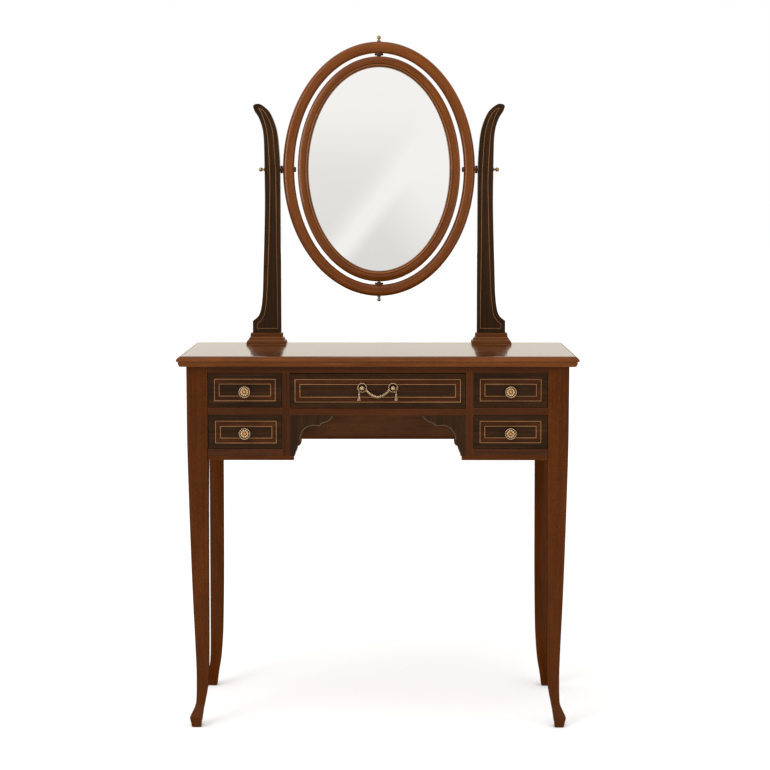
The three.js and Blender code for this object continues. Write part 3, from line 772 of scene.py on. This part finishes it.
# Each row: height, then how far the outer, inner, front and back faces stand in from the
# square top of the leg.
FRONT_LEG = [
    (767.7, 0, 0, 0, 0),
    (690, 0.2, 0.1, 0.2, 0),
    (600, 0.6, 0.6, 0.9, 0),
    (486, 2.9, 2.2, 4, 1),
    (380, 5.5, 2.8, 7, 1.6),
    (273, 8.8, 3.2, 10, 2.1),
    (187, 12.2, 3.6, 13, 2.4),
    (122, 14.4, 4.5, 15, 3.8),
    (92, 14.6, 5.7, 14.8, 5.6),
    (72, 14.4, 8.0, 14.0, 8.8),
    (52, 13.6, 11.8, 11.6, 12.6),
    (43.5, 11.6, 13.4, 8.8, 14.8),
    (34.5, 8.0, 15.2, 4.2, 17.6),
    (26, 4.0, 16.4, -0.6, 19.6),
    (20.5, 1.2, 17.2, -3.9, 20.8),
]
FRONT_HOOF = [(19.6, 1.4, 17.4, -3.9, 21), (1.0, 5.6, 19.4, -2.6, 23), (0, 6.6, 20.2, -1.6, 24)]
REAR_LEG = [
    (767.7, 0, 0, 0, 0),
    (640, 1.6, 0.1, 0.3, 0),
    (508, 1.5, 0.4, 1, 0),
    (297, 0.8, 1.0, 4, 3),
    (207, 0.5, 2.0, 5, 4),
    (150, 0.2, 3.2, 5.8, 5),
    (117, 0, 4.4, 6, 6),
    (72, -0.9, 8.0, 4, 9),
    (50, -3.2, 11.2, 1, 12),
    (36, -6.8, 13.8, -2, 15),
    (20, -10, 16.4, -4, 18),
]
REAR_HOOF = [(19, -9.9, 16.5, -3.8, 18.1), (1.0, -8.4, 18.6, -1, 19), (0, -7.4, 19.4, 0, 20)]
# The square tops of the right legs: outer and inner in x, then their two faces in y.
FRONT_SQUARE = (400, 355.5, -192, -147.5)
REAR_SQUARE = (386, 354.5, 190, 152)


def make_leg(node, rows, hoof, square, backwards):
    """Sweeps the leg's section down its rows. A rear leg faces backwards, so its rows'
    front is its back."""
    outer, inner, front, back = square
    side = -1 if "left" in node else 1
    inwards = -1 if backwards else 1
    levels = smooth(rows, 6) + hoof
    rings = []
    for z, out_in, in_in, front_in, back_in in levels:
        x0, x1 = sorted((side * (inner + in_in), side * (outer - out_in)))
        y0, y1 = sorted((front + inwards * front_in, back - inwards * back_in))
        rings.append(level_ring(x0, x1, y0, y1, z, 1.8))
    shell = Shell()
    shell.skin(rings)
    shell.make(node + "_shaped", ["mahogany_path"], "root", [node], "mahogany", 28)


def make_legs():
    for side in SIDES:
        make_leg(f"front_{side}_leg", FRONT_LEG, FRONT_HOOF, FRONT_SQUARE, False)
        make_leg(f"rear_{side}_leg", REAR_LEG, REAR_HOOF, REAR_SQUARE, True)


# ---- brackets


def make_brackets():
    """Shaped boards in the upper corners of the knee space, with a pale painted highlight line
    along their curved edge.
    """
    low, high = box_mm("right_bracket")
    corner, top, foot = high[0], high[2], low[2]
    curve = smooth([(93, top), (97, 658), (105, 652), (114, 649), (119, 646), (121, 642)], 3)
    curve += smooth([(121, 642), (135, 643.5), (148, 640), (157, 631), (162.5, 618)], 6)[1:]
    curve += smooth([(162.5, 618), (159.5, 611.5), (161.5, 604), (166.5, 600.5)], 4)[1:]
    curve += smooth([(166.5, 600.5), (168.5, 594), (171.5, 587), (173.5, foot)], 3)[1:]
    for side, sign in SIDES.items():
        outline = [(sign * x, z) for x, z in [(corner, foot), (corner, top), *curve]]
        outline = anticlockwise(outline)
        shell = Shell()
        shell.skin(slab(outline, low[1], high[1], 0.5))
        # A pale strip along the curved edge is a painted highlight line.
        line = [p for p in inset_outline(outline, 1.1) if abs(p[0]) < corner - 2]
        ribbon(shell, line, 0.7, low[1], 0.06, slot=1)
        woods = ["rosewood_z", "bracket_line"]
        shell.make(f"{side}_shaped_bracket", woods, "root", [f"{side}_bracket"], "rosewood", 40)


def make_bottom_rails():
    """A rail under the drawers, and a rounded lip below it that runs on under the partition."""
    start = box_mm("right_partition")[1][0] + 0.3
    for side, sign in SIDES.items():
        low, high = box_mm(f"{side}_bottom_rail")
        inner, outer = sorted((abs(low[0]), abs(high[0])))
        front, back, lip_top = low[1], high[1], low[2] + 8.5
        lip = [(0, 1.2), (0, 7), (0.5, 8), (1.4, 8.4), (back - front, 8.4), (back - front, 0),
               (1.2, 0), (0.4, 0.4)]
        rail = [(1.6, 0.1), (0.9, 0.7), (0.7, 1.2), (0.7, high[2] - lip_top - 0.5),
                (1.0, high[2] - lip_top), (back - front, high[2] - lip_top), (back - front, 0.1)]
        shell = Shell()
        for section, first, base in ((lip, inner, low[2]), (rail, start, lip_top)):
            ends = sorted((sign * first, sign * outer))
            part = 0 if section is lip else 1
            rings = [[(x, front + y, base + z) for y, z in section] for x in ends]
            shell.skin(rings, slots=part)
        name = f"{side}_lipped_rail"
        materials = ["mahogany_x", "rail_x"]
        shell.make(name, materials, "root", [f"{side}_bottom_rail"], "mahogany")


# ---- drawers


def nested(low, high, inset=(0, 0, 0, 0)):
    """A rectangle inside a box seen from the front. inset is left, right, bottom and top."""
    left, right, bottom, top = inset
    return [
        (low[0] + left, low[2] + bottom),
        (high[0] - right, low[2] + bottom),
        (high[0] - right, high[2] - top),
        (low[0] + left, high[2] - top),
    ]


def make_drawer_front(name, body, strings):
    """A veneered front with two rectangles of stringing. strings gives their insets."""
    low, high = box_mm(f"{name}_drawer_front")
    rings = slab(nested(low, high), low[1], high[1], 0.6)[::-1]
    for inset in strings:
        rings.append([(x, low[1], z) for x, z in nested(low, high, inset)])
    shell = Shell()
    # the crossbanding lies between the two strings, and the middle closes the last ring
    shell.skin(rings, slots=[0] * (len(rings) - 2) + [1, 0])
    for inset in strings:
        ribbon(shell, nested(low, high, inset), 1.15, low[1], 0.1, closed=True, slot=2)
    woods = ["rosewood_x", "band_x", "string_x"]
    shell.make(f"{name}_drawer_face", woods, body, [f"{name}_drawer_front"], "rosewood")


def make_drawer_box(name, body):
    """Four sides and a bottom of pale wood, with the sides let into front and back."""
    low, high = box_mm(f"{name}_drawer_box")
    wall, floor = 9, 5
    front = slab(nested(low, high), low[1], low[1] + wall, 0.5)
    back = slab(nested(low, high), high[1] - wall, high[1], 0.5)
    shell = Shell()
    shell.skin(front)
    shell.skin(back)
    width, height = high[0] - low[0], high[2] - low[2]
    for inset in ((0, width - wall, 0.2, 0.2), (width - wall, 0, 0.2, 0.2)):
        side = nested(low, high, inset)
        shell.skin(slab(side, low[1] + wall + 0.05, high[1] - wall - 0.05, 0.4), slots=1)
    base = nested(low, high, (wall + 0.1, wall + 0.1, 0.5, height - floor))
    shell.skin(slab(base, low[1] + wall + 0.1, high[1] - wall - 0.1, 0.3), slots=1)
    add_dovetails(shell, low, high, wall)
    woods = ["pale_x", "pale_y", "backing"]
    shell.make(f"{name}_drawer_case", woods, body, [f"{name}_drawer_box"], "drawer_wood")


def add_dovetails(shell, low, high, wall):
    """The tails of the side boards show on the ends of the front and back boards."""
    count = 4
    pitch = (high[2] - low[2]) / count
    wide, narrow = pitch * 0.36, pitch * 0.24
    joints = ((low[1] + 0.4, low[1] + wall), (high[1] - 0.4, high[1] - wall))
    for side, x in ((-1, low[0]), (1, high[0])):
        for outer_y, inner_y in joints:
            for k in range(count):
                centre = low[2] + pitch * (k + 0.5)
                rings = [
                    [(face, outer_y, centre - wide), (face, outer_y, centre + wide),
                     (face, inner_y, centre + narrow), (face, inner_y, centre - narrow)]
                    for face in (x - side * 0.4, x + side * 0.06)
                ]
                shell.skin(rings, slots=2)


# ---- pulls

# The swag's pins turn about this line.
HANDLE_Y, HANDLE_Z = -200.5, 723.6


def relief_disc(shell, place, height_of, outer, rings=34, spokes=144, core=0.0):
    """A round face modelled in relief. height_of(radius, angle) gives how far it stands
    out and how deep the point lies, from 0 on the crests to 1 in the hollows. Inside the
    core's radius it has the second material."""
    turns = full_turn(spokes)
    radii = [outer * (1 - r / (rings + 0.5)) for r in range(rings + 1)]
    points, depth, faces, slots = [], [], [], []
    for radius in radii:
        for angle in turns:
            out, deep = height_of(radius, angle)
            x, z = radius * math.cos(angle), radius * math.sin(angle)
            points.append((place[0] + x, place[1] - out, place[2] + z))
            # Deep points are later darkened by the metal with painted shade.
            depth.append(deep)
    for r in range(rings):
        near, far = r * spokes, (r + 1) * spokes
        for k in range(spokes):
            after = (k + 1) % spokes
            faces.append((near + k, near + after, far + after, far + k))
            slots.append(1 if radii[r] < core else 0)
    faces.append(tuple(rings * spokes + k for k in range(spokes)))
    slots.append(1 if core else 0)
    # a flat back closes the relief into one body
    back = len(points)
    for angle in turns:
        x, z = outer * 0.96 * math.cos(angle), outer * 0.96 * math.sin(angle)
        points.append((place[0] + x, place[1] + 1.2, place[2] + z))
        depth.append(0.7)
    for k in range(spokes):
        after = (k + 1) % spokes
        faces.append((k, back + k, back + after, after))
        slots.append(0)
    faces.append(tuple(range(back, back + spokes)))
    slots.append(0)
    shell.add(points, faces, slots, depth=depth)


def rope_rim(radius, angle, centre, half, twists):
    """Height and depth of a twisted rope edging."""
    across = (radius - centre) / half
    dome = math.sqrt(max(0.0, 1 - across * across))
    twist = 0.5 + 0.5 * math.cos(twists * angle + across * 2.4)
    return dome * (0.8 + 0.85 * twist), min(1, (1 - dome) * 0.8 + (1 - twist) * 0.9)


def knob_height(radius, angle):
    """A rope rim, a ring of leaves, a ring of beads and a domed middle."""
    if radius > 9.7:
        return rope_rim(radius, angle, 11.0, 1.35, 18)
    if radius > 9.0:
        return 0.3, 1.0
    if radius > 4.7:
        across = (radius - 4.7) / 4.3
        leaf = abs(math.cos(5 * angle)) ** 0.5
        vein = 0.72 + 0.28 * abs(math.cos(15 * angle))
        arch = math.sin(math.pi * min(1, across * 0.9 + 0.12)) ** 0.5
        out = 2.2 * arch * (0.2 + 0.8 * leaf) * vein
        return out, min(1.0, max(0.0, 1.3 - out / 1.5))
    if radius > 3.2:
        across = (radius - 3.95) / 0.75
        bead = abs(math.cos(6 * angle)) ** 0.6
        out = 1.3 * math.sqrt(max(0.0, 1 - across * across)) * bead
        return 0.3 + out, 1.0 - 0.75 * out
    dome = math.sqrt(max(0.0, 1 - (radius / 3.3) ** 2))
    return 0.5 + 3.0 * dome, 0.7 * (1 - dome)


def make_knob(name, body):
    """A turned stem that widens into a thin cup, with the relief as its face."""
    centre_x, _, centre_z = middle(f"{name}_knob")
    face = box_mm(f"{name}_knob")[1][1]
    shell = Shell()
    stem = [(0.01, 0), (8, 0), (8.2, 0.8), (7.6, 1.6), (5.4, 2.2), (4.3, 3.4), (4.2, 6.5),
            (5.2, 8.6), (9, 9.8), (11.6, 10.6), (12.2, 11.6), (12.1, 12.6), (11.7, 13.2),
            (0.01, 13.3)]
    turned(shell, stem, (centre_x, face, centre_z), "-y", 48, 0, 0.45)
    relief_disc(shell, (centre_x, face - 13.2, centre_z), knob_height, 12.35, core=4.7)
    shell.make(f"{name}_pull", ["champagne", "gold"], body, [f"{name}_knob"], "antique_gold", 50)


def rosette_height(radius, angle):
    """A rope rim round a flat, dark middle."""
    if radius > 7.6:
        out, deep = rope_rim(radius, angle, 9.1, 1.5, 16)
        return 0.6 + out, deep
    return 0.15, 1.0


def bud_height(radius, angle):
    """The head of a handle post: a fluted bud with a small plain dome in the middle."""
    dome = math.sqrt(max(0.0, 1 - (radius / 5.0) ** 2))
    if radius < 1.5:
        return 3.6 * dome, 0.1
    flute = abs(math.cos(3 * angle + radius * 0.5))
    return 3.2 * dome * (0.75 + 0.25 * flute), min(1.0, 1.5 * (1 - flute) + 0.3 * (1 - dome))


def make_rosettes():
    """A roped plate on the drawer, and a post through it that ends in a bud."""
    for side in SIDES:
        node = f"{side}_handle_rosette"
        centre_x, _, centre_z = middle(node)
        face = box_mm(node)[1][1]
        reach = face - HANDLE_Y
        shell = Shell()
        relief_disc(shell, (centre_x, face - 1.3, centre_z), rosette_height, 10.4)
        stem = [(0.01, 0.5), (4.4, 0.6), (4.4, 1.9), (3.4, 2.6), (2.9, 4), (2.9, reach + 2.2),
                (3.4, reach + 2.8), (4.7, reach + 3.2), (4.7, reach + 3.9), (0.01, reach + 4)]
        turned(shell, stem, (centre_x, face, centre_z), "-y", 40, 1, 0.6)
        bud_place = (centre_x, face - reach - 4.2, centre_z)
        relief_disc(shell, bud_place, bud_height, 4.9, 14, 60)
        metals = ["champagne", "gold"]
        shell.make(f"{side}_rosette", metals, "centre_drawer", [node], "antique_gold", 50)


def strand_tube(shell, path, strands, strand_radius, orbit, pitch, sides, fade=None):
    """A twisted rope: strands that wind round a path given in x and z at the axis' depth."""
    lengths = [0.0]
    for a, b in zip(path, path[1:]):
        lengths.append(lengths[-1] + math.dist(a, b))
    total = lengths[-1]
    for strand in range(strands):
        rings, depth = [], []
        for k, point in enumerate(path):
            before = path[max(0, k - 1)]
            after = path[min(len(path) - 1, k + 1)]
            run = Vector((after[0] - before[0], 0, after[1] - before[1])).normalized()
            side = Vector((-run.z, 0, run.x))
            out = Vector((0, -1, 0))
            share = lengths[k] / total
            size = fade(share) if fade else 1.0
            turn = 2 * math.pi * (strand / strands + lengths[k] / pitch)
            centre = Vector((point[0], HANDLE_Y, point[1]))
            centre += (side * math.cos(turn) + out * math.sin(turn)) * orbit * size
            ring = []
            for angle in full_turn(sides):
                offset = (side * math.cos(angle) + out * math.sin(angle)) * strand_radius * size
                ring.append(tuple(centre + offset))
                # Where a strand turns in towards the others it is darkened with painted shade.
                depth.append(min(1.0, max(0.0, 1.0 - 1.15 * math.cos(angle - turn))))
            rings.append(ring)
        shell.skin(rings, depth=depth)


def make_swag():
    """A rope that hangs between two posts on its pins, with a tassel beyond each post."""
    post = middle("right_handle_rosette")[0]
    start = post - 8
    half = [(-start, 0), (-start + 2, -6), (-14.5, -13), (-6, -17.4)]
    route = half + [(0, -18.7)] + [(-x, z) for x, z in reversed(half)]
    path = smooth([(x, HANDLE_Z + z) for x, z in route], 14)

    def fade(share):
        return 0.74 + 0.26 * math.sin(math.pi * share) ** 0.7

    shell = Shell()
    strand_tube(shell, path, 3, 1.4, 1.45, 11.4, 12, fade)
    for side in (-1, 1):
        pin = [(0.01, post - 9.2), (1.4, post - 9.0), (1.5, post - 8), (1.5, post + 7.2),
               (1.2, post + 7.6), (0.01, post + 7.7)]
        pin_axis = "x" if side > 0 else "-x"
        # The pins are darkened almost to the darker tone with painted shade.
        turned(shell, pin, (0, HANDLE_Y, HANDLE_Z), pin_axis, 16, 1, 0.95)
        add_tassel(shell, side * (post + 6.3))
    shell.make("rope_swag", ["champagne", "gold"], "handle", ["swag_handle"], "antique_gold", 50)


def add_tassel(shell, x):
    """A short twisted cord, a knot, and a fluted skirt that opens downwards."""
    cord = [(x, HANDLE_Z + 1.6 - 0.8 * k) for k in range(18)]
    strand_tube(shell, cord, 2, 0.85, 0.7, 4.6, 10)
    knot = [(0.01, 11.4), *[(r, 13.6 + a) for r, a in ball(2.3, 0, 20, 160, 8)], (1.3, 15.9)]
    turned(shell, knot, (x, HANDLE_Y, HANDLE_Z), "-z", 20, 0, 0.3)
    levels = [(1.3, 15.7), (1.8, 16.4), (1.9, 17.6), (2.1, 19.6), (2.7, 22.4), (3.7, 25.8),
              (3.1, 26.2)]
    rings, depth = [], []
    for radius, drop in levels:
        ring = []
        for angle in full_turn(48):
            crest = math.cos(8 * angle)
            flute = radius * (1 + 0.12 * crest)
            across, out = flute * math.cos(angle), flute * math.sin(angle)
            ring.append((x + across, HANDLE_Y + out, HANDLE_Z - drop))
            # The flutes' hollows are darkened with painted shade.
            depth.append(0.62 - 0.5 * crest)
        rings.append(ring)
    shell.skin(rings, depth=depth)


# ---- mirror stand


def make_plinths():
    """Each row: how far the faces stand in from the widest part, and the height above it."""
    profile = [
        (0, -0.25), (0, 2.6), (0.4, 4.6), (1.1, 6.4), (2.0, 7.8), (2.4, 8.4),
        (3.9, 8.6), (4.3, 9.2), (5.0, 11.0), (5.9, 13.0), (6.4, 14.6), (8.0, 14.9), (8.8, 15.3),
        (8.8, 23.8), (9.1, 24.4), (9.8, 24.7),
    ]
    for side in SIDES:
        low, high = box_mm(f"{side}_plinth")
        shell = Shell()
        shell.skin(moulded(low, high, [(i, low[2] + h) for i, h in profile], 1.2))
        name = f"{side}_moulded_plinth"
        shell.make(name, ["plinth_x"], "root", [f"{side}_plinth"], "mahogany")


def post_outline(foot):
    """The right post's outline, up the inside, round the curled tip and down the outside."""
    inside = [(220.5, 1120), (220.9, 1184), (222.4, 1218), (225.3, 1252), (229.8, 1275),
              (237, 1295), (245.5, 1310.5), (258, 1322)]
    tip = [(258, 1322), (265, 1325.6), (271, 1326.3), (277, 1325), (280.3, 1321.5), (279.4, 1316)]
    outside = [(279.4, 1316), (276.2, 1308.5), (268.2, 1296), (261.2, 1277), (257.4, 1255),
               (256.2, 1224), (255.6, 1177), (255.1, 1112), (256.4, 1045), (258.7, 977),
               (260.6, 915), (262.2, 890), (265, 870), (268.8, 857.5), (274.5, 849.5), (283.8, 842)]
    outline = [(220.5, foot)]
    outline += smooth(inside, 6) + smooth(tip, 5)[1:] + smooth(outside, 5)[1:]
    return outline + [(283.9, foot)]


def post_string(foot):
    """The stringing follows the outline about 10 mm in, and ends in a point at the tip."""
    inner = smooth([(228, foot + 70), (229.4, 1000), (230.4, 1157), (232, 1197), (234.4, 1237),
                    (237.6, 1265.5), (243.8, 1287.2), (252, 1304), (259.5, 1312.5), (268, 1317)], 5)
    outer = smooth([(268, 1317), (261.2, 1304), (254, 1284), (249.4, 1261), (246, 1217),
                    (243.6, 1157), (244.4, 1107), (246, 1044), (248.2, 977), (251.6, 905),
                    (255.6, 866), (259.6, 852), (266, 842), (274, 835.5)], 5)
    return [(228, foot + 10), *inner, *outer[1:], (274, foot + 10)]


def make_posts():
    for side, sign in SIDES.items():
        low, high = box_mm(f"{side}_post")
        foot = low[2]
        outline = anticlockwise([(sign * x, z) for x, z in post_outline(foot)])
        shell = Shell()
        shell.skin(slab(outline, low[1], high[1], 1.2, 3))
        line = [(sign * x, z) for x, z in post_string(foot)]
        ribbon(shell, line, 0.85, low[1], 0.1, closed=True, slot=1)
        woods = ["rosewood_z", "string_path"]
        shell.make(f"{side}_curved_post", woods, "root", [f"{side}_post"], "rosewood", 40)


# ---- mirror

OVAL_STEPS = 160
MIRROR_Y = middle("outer_ring")[1]
# Half the width and half the height of the openings in the outer ring and the inner frame.
RING_INNER = (189.6, 257.6)
GLASS_OPEN = (157.4, 226.2)


def oval_band(node, inner, section, strip_slots=None):
    """Sweeps a section round an oval. Section points are (share of the width, y)."""
    high = box_mm(node)[1]
    centre_x, _, centre_z = middle(node)
    outer = (high[0] - centre_x, high[2] - centre_z)
    rings = []
    for angle in full_turn(OVAL_STEPS):
        rings.append([
            (
                centre_x + lerp(outer[0], inner[0], s) * math.cos(angle),
                MIRROR_Y + y,
                centre_z + lerp(outer[1], inner[1], s) * math.sin(angle),
            )
            for s, y in section
        ])
    shell = Shell()
    shell.skin(rings, loop=True)
    if strip_slots:
        shell.slots = [strip_slots.get(k % len(section), 0) for k in range(len(shell.faces))]
    return shell


def make_outer_ring():
    front = [(0, -2.5), (0.015, -5), (0.06, -7.4), (0.13, -9.2), (0.22, -10.5), (0.34, -11.3),
             (0.5, -11.5), (0.66, -11.2), (0.78, -10.3), (0.87, -9.0), (0.94, -7.2), (0.985, -5),
             (1, -2.5)]
    back = [(1, 4), (0.96, 7.2), (0.86, 9.6), (0.7, 11.1), (0.5, 11.5), (0.3, 11.1), (0.14, 9.6),
            (0.04, 7.2), (0, 4)]
    shell = oval_band("outer_ring", RING_INNER, front + back)
    shell.make("moulded_ring", ["mahogany_oval"], "mirror_ring", ["outer_ring"], "mahogany")


def make_inner_frame():
    front = [(0, -4), (0.015, -7.4), (0.05, -9.2), (0.1, -10.2), (0.2, -11.2), (0.36, -12.3),
             (0.5, -12.9), (0.61, -12.7), (0.65, -11.8), (0.67, -11.0), (0.7, -11.4),
             (0.74, -11.9), (0.79, -11.7), (0.84, -10.9), (0.875, -9.7), (0.92, -9.2),
             (0.95, -8.8), (0.98, -6.5), (1, -5), (1, -2.2)]
    back = [(0.73, -2.1), (0.73, 10.2), (0.69, 10.9), (0.5, 11), (0.1, 11), (0.02, 10.4), (0, 9)]
    # Bands of the section: painted shade (slot 1) in the groove and the inner step, painted
    # highlight lines (slot 2) on the bead and the inner bevel.
    painted_light_strips = {8: 1, 9: 1, 11: 2, 12: 2, 14: 1, 15: 1, 16: 2, 17: 2}
    shell = oval_band("inner_frame", GLASS_OPEN, front + back, painted_light_strips)
    materials = ["mahogany_oval", "oval_lip", "oval_line"]
    shell.make("moulded_frame", materials, "mirror", ["inner_frame"], "mahogany")


def oval_plate(node, name, materials, slot, arris):
    low, high = box_mm(node)
    centre_x, _, centre_z = middle(node)
    half = (high[0] - centre_x, high[2] - centre_z)
    outline = [
        (centre_x + half[0] * math.cos(angle), centre_z + half[1] * math.sin(angle))
        for angle in full_turn(OVAL_STEPS)
    ]
    shell = Shell()
    shell.skin(slab(outline, low[1], high[1], arris))
    shell.make(name, materials, "mirror", [node], slot)


# ---- mirror fittings

# How far from the middle the outer faces of the posts are, where the thumb screws pass.
POST_FACE = 256.5


def saddled(point, pivot, seat, sign):
    """Lifts the end of a disc so that it hugs the rounded inner face of the ring."""
    x, y, z = point
    if sign * (z - pivot[2]) < seat - 0.1:
        return point
    away = max(0.0, abs(y - pivot[1]) - 3)
    return (x, y, z + sign * 0.085 * away ** 1.9)


def distances(node, pivot, letter):
    """How far from the pivot a node starts and stops, along x or z."""
    low, high = box_mm(node)
    k = "xyz".index(letter)
    return sorted((abs(low[k] - pivot[k]), abs(high[k] - pivot[k])))


def make_turned(name, tone, body, node, profile, pivot, axis):
    shell = Shell()
    turned(shell, profile, pivot, axis)
    metal_slot = "bronze" if tone == "bronze" else "brass"
    shell.make(name, [tone], body, [node], metal_slot, 40)


def make_side_fittings(side, pivot, axis):
    """A screw with a ball head through the post, a collar, and a nut inside the ring."""
    node = f"{side}_thumb_screw"
    tip, end = distances(node, pivot, "x")
    screw = [(0.01, tip), (2.1, tip + 0.1), (2.4, tip + 0.6), (2.4, POST_FACE),
             (3.9, POST_FACE + 0.1), (4.1, POST_FACE + 0.7), (3.8, POST_FACE + 1.4),
             (2.2, POST_FACE + 1.9), (1.7, POST_FACE + 2.6), *ball(4.6, end - 4.6, 24, 178, 14)]
    make_turned(f"{side}_ball_screw", "brass", node, node, screw, pivot, axis)

    node = f"{side}_collar"
    start, stop = distances(node, pivot, "x")
    collar = [(3.0, start), (7.6, start), (8.6, start + 0.6), (9, start + 1.6),
              (9, stop - 1.8), (8.4, stop - 0.9), (7.8, stop), (3.0, stop)]
    make_turned(f"{side}_turned_collar", "bronze", "root", node, collar, pivot, axis)

    node = f"{side}_pivot_nut"
    start, stop = distances(node, pivot, "x")
    nut = [(0.01, start), (3.2, start), (4.9, start + 0.5), (5.8, start + 1.4), (5.8, stop),
           (0.01, stop)]
    make_turned(f"{side}_round_nut", "bronze", "mirror_ring", node, nut, pivot, axis)


def make_end_fittings(end, pivot, axis, tone, head):
    """A finial screw with a ball head through the ring, and the spacer inside the ring."""
    node = f"{end}_finial_screw"
    low, high = box_mm(node)
    tip, top = distances(node, pivot, "z")
    seat = box_mm("outer_ring")[1][2] - pivot[2] + 0.3
    wide = (high[0] - low[0]) / 2
    screw = [(0.01, tip), (2.3, tip + 0.2), (2.4, seat), (wide, seat + 0.1), (wide, seat + 1.0),
             (wide - 0.7, seat + 1.7), (2.9, seat + 2.6), (2.2, seat + 3.8),
             *ball(head, top - head, 26, 178, 14)]
    make_turned(f"{end}_finial", tone, node, node, screw, pivot, axis)

    start, stop = distances(f"{end}_spacer", pivot, "z")
    neck = start + 1.4
    disc = [(3.0, start), (4.3, start), (4.4, neck), (8.8, neck + 0.2), (9.6, neck + 0.7),
            (9.8, neck + 1.4), (9.8, stop), (9.5, stop), (8.5, stop), (7.5, stop),
            (6.0, stop), (4.5, stop), (3.0, stop)]
    shell = Shell()
    turned(shell, disc, pivot, axis)
    sign = -1 if axis[0] == "-" else 1
    shell.points = [saddled(point, pivot, stop, sign) for point in shell.points]
    name = f"{end}_turned_spacer"
    shell.make(name, ["bronze"], "mirror_ring", [f"{end}_spacer"], "bronze", 40)


def make_fittings():
    pivot = middle("outer_ring")
    make_side_fittings("left", pivot, "-x")
    make_side_fittings("right", pivot, "x")
    make_end_fittings("top", pivot, "z", "brass", 4.4)
    # The bottom finial takes the brass darkened with painted shade.
    make_end_fittings("bottom", pivot, "-z", "dull_brass", 4.1)


# ---- everything together


def make_drawers():
    side_strings = {
        "left_upper": [(13.2, 13.2, 13, 13), (23, 23, 23, 23)],
        "left_lower": [(14.8, 11.6, 11.2, 13), (25, 20.6, 21.6, 24)],
        "right_upper": [(13.2, 13.2, 13, 13), (23, 23, 23, 23)],
        "right_lower": [(13.2, 13.2, 12, 13), (23, 23, 22.4, 23.4)],
    }
    centre_strings = [(10.2, 10.2, 12.6, 12.6), (20.4, 20.4, 22.8, 22.8)]
    for side in SIDES:
        for row in ("upper", "lower"):
            name = f"{side}_{row}"
            body = f"{name}_drawer"
            make_drawer_front(name, body, side_strings[name])
            make_drawer_box(name, body)
            make_knob(name, body)
    make_drawer_front("centre", "centre_drawer", centre_strings)
    make_drawer_box("centre", "centre_drawer")


bpy.context.scene.view_settings.view_transform = "Standard"
add_camera()
add_lights()
add_stage()
polish_boards()
make_top()
make_legs()
make_brackets()
make_bottom_rails()
make_drawers()
make_rosettes()
make_swag()
make_plinths()
make_posts()
make_outer_ring()
make_inner_frame()
oval_plate("mirror_glass", "silvered_glass", ["mirror_silver"], "mirror", 0.4)
oval_plate("mirror_backing", "backing_board", ["backing"], "backing", 0.5)
make_fittings()
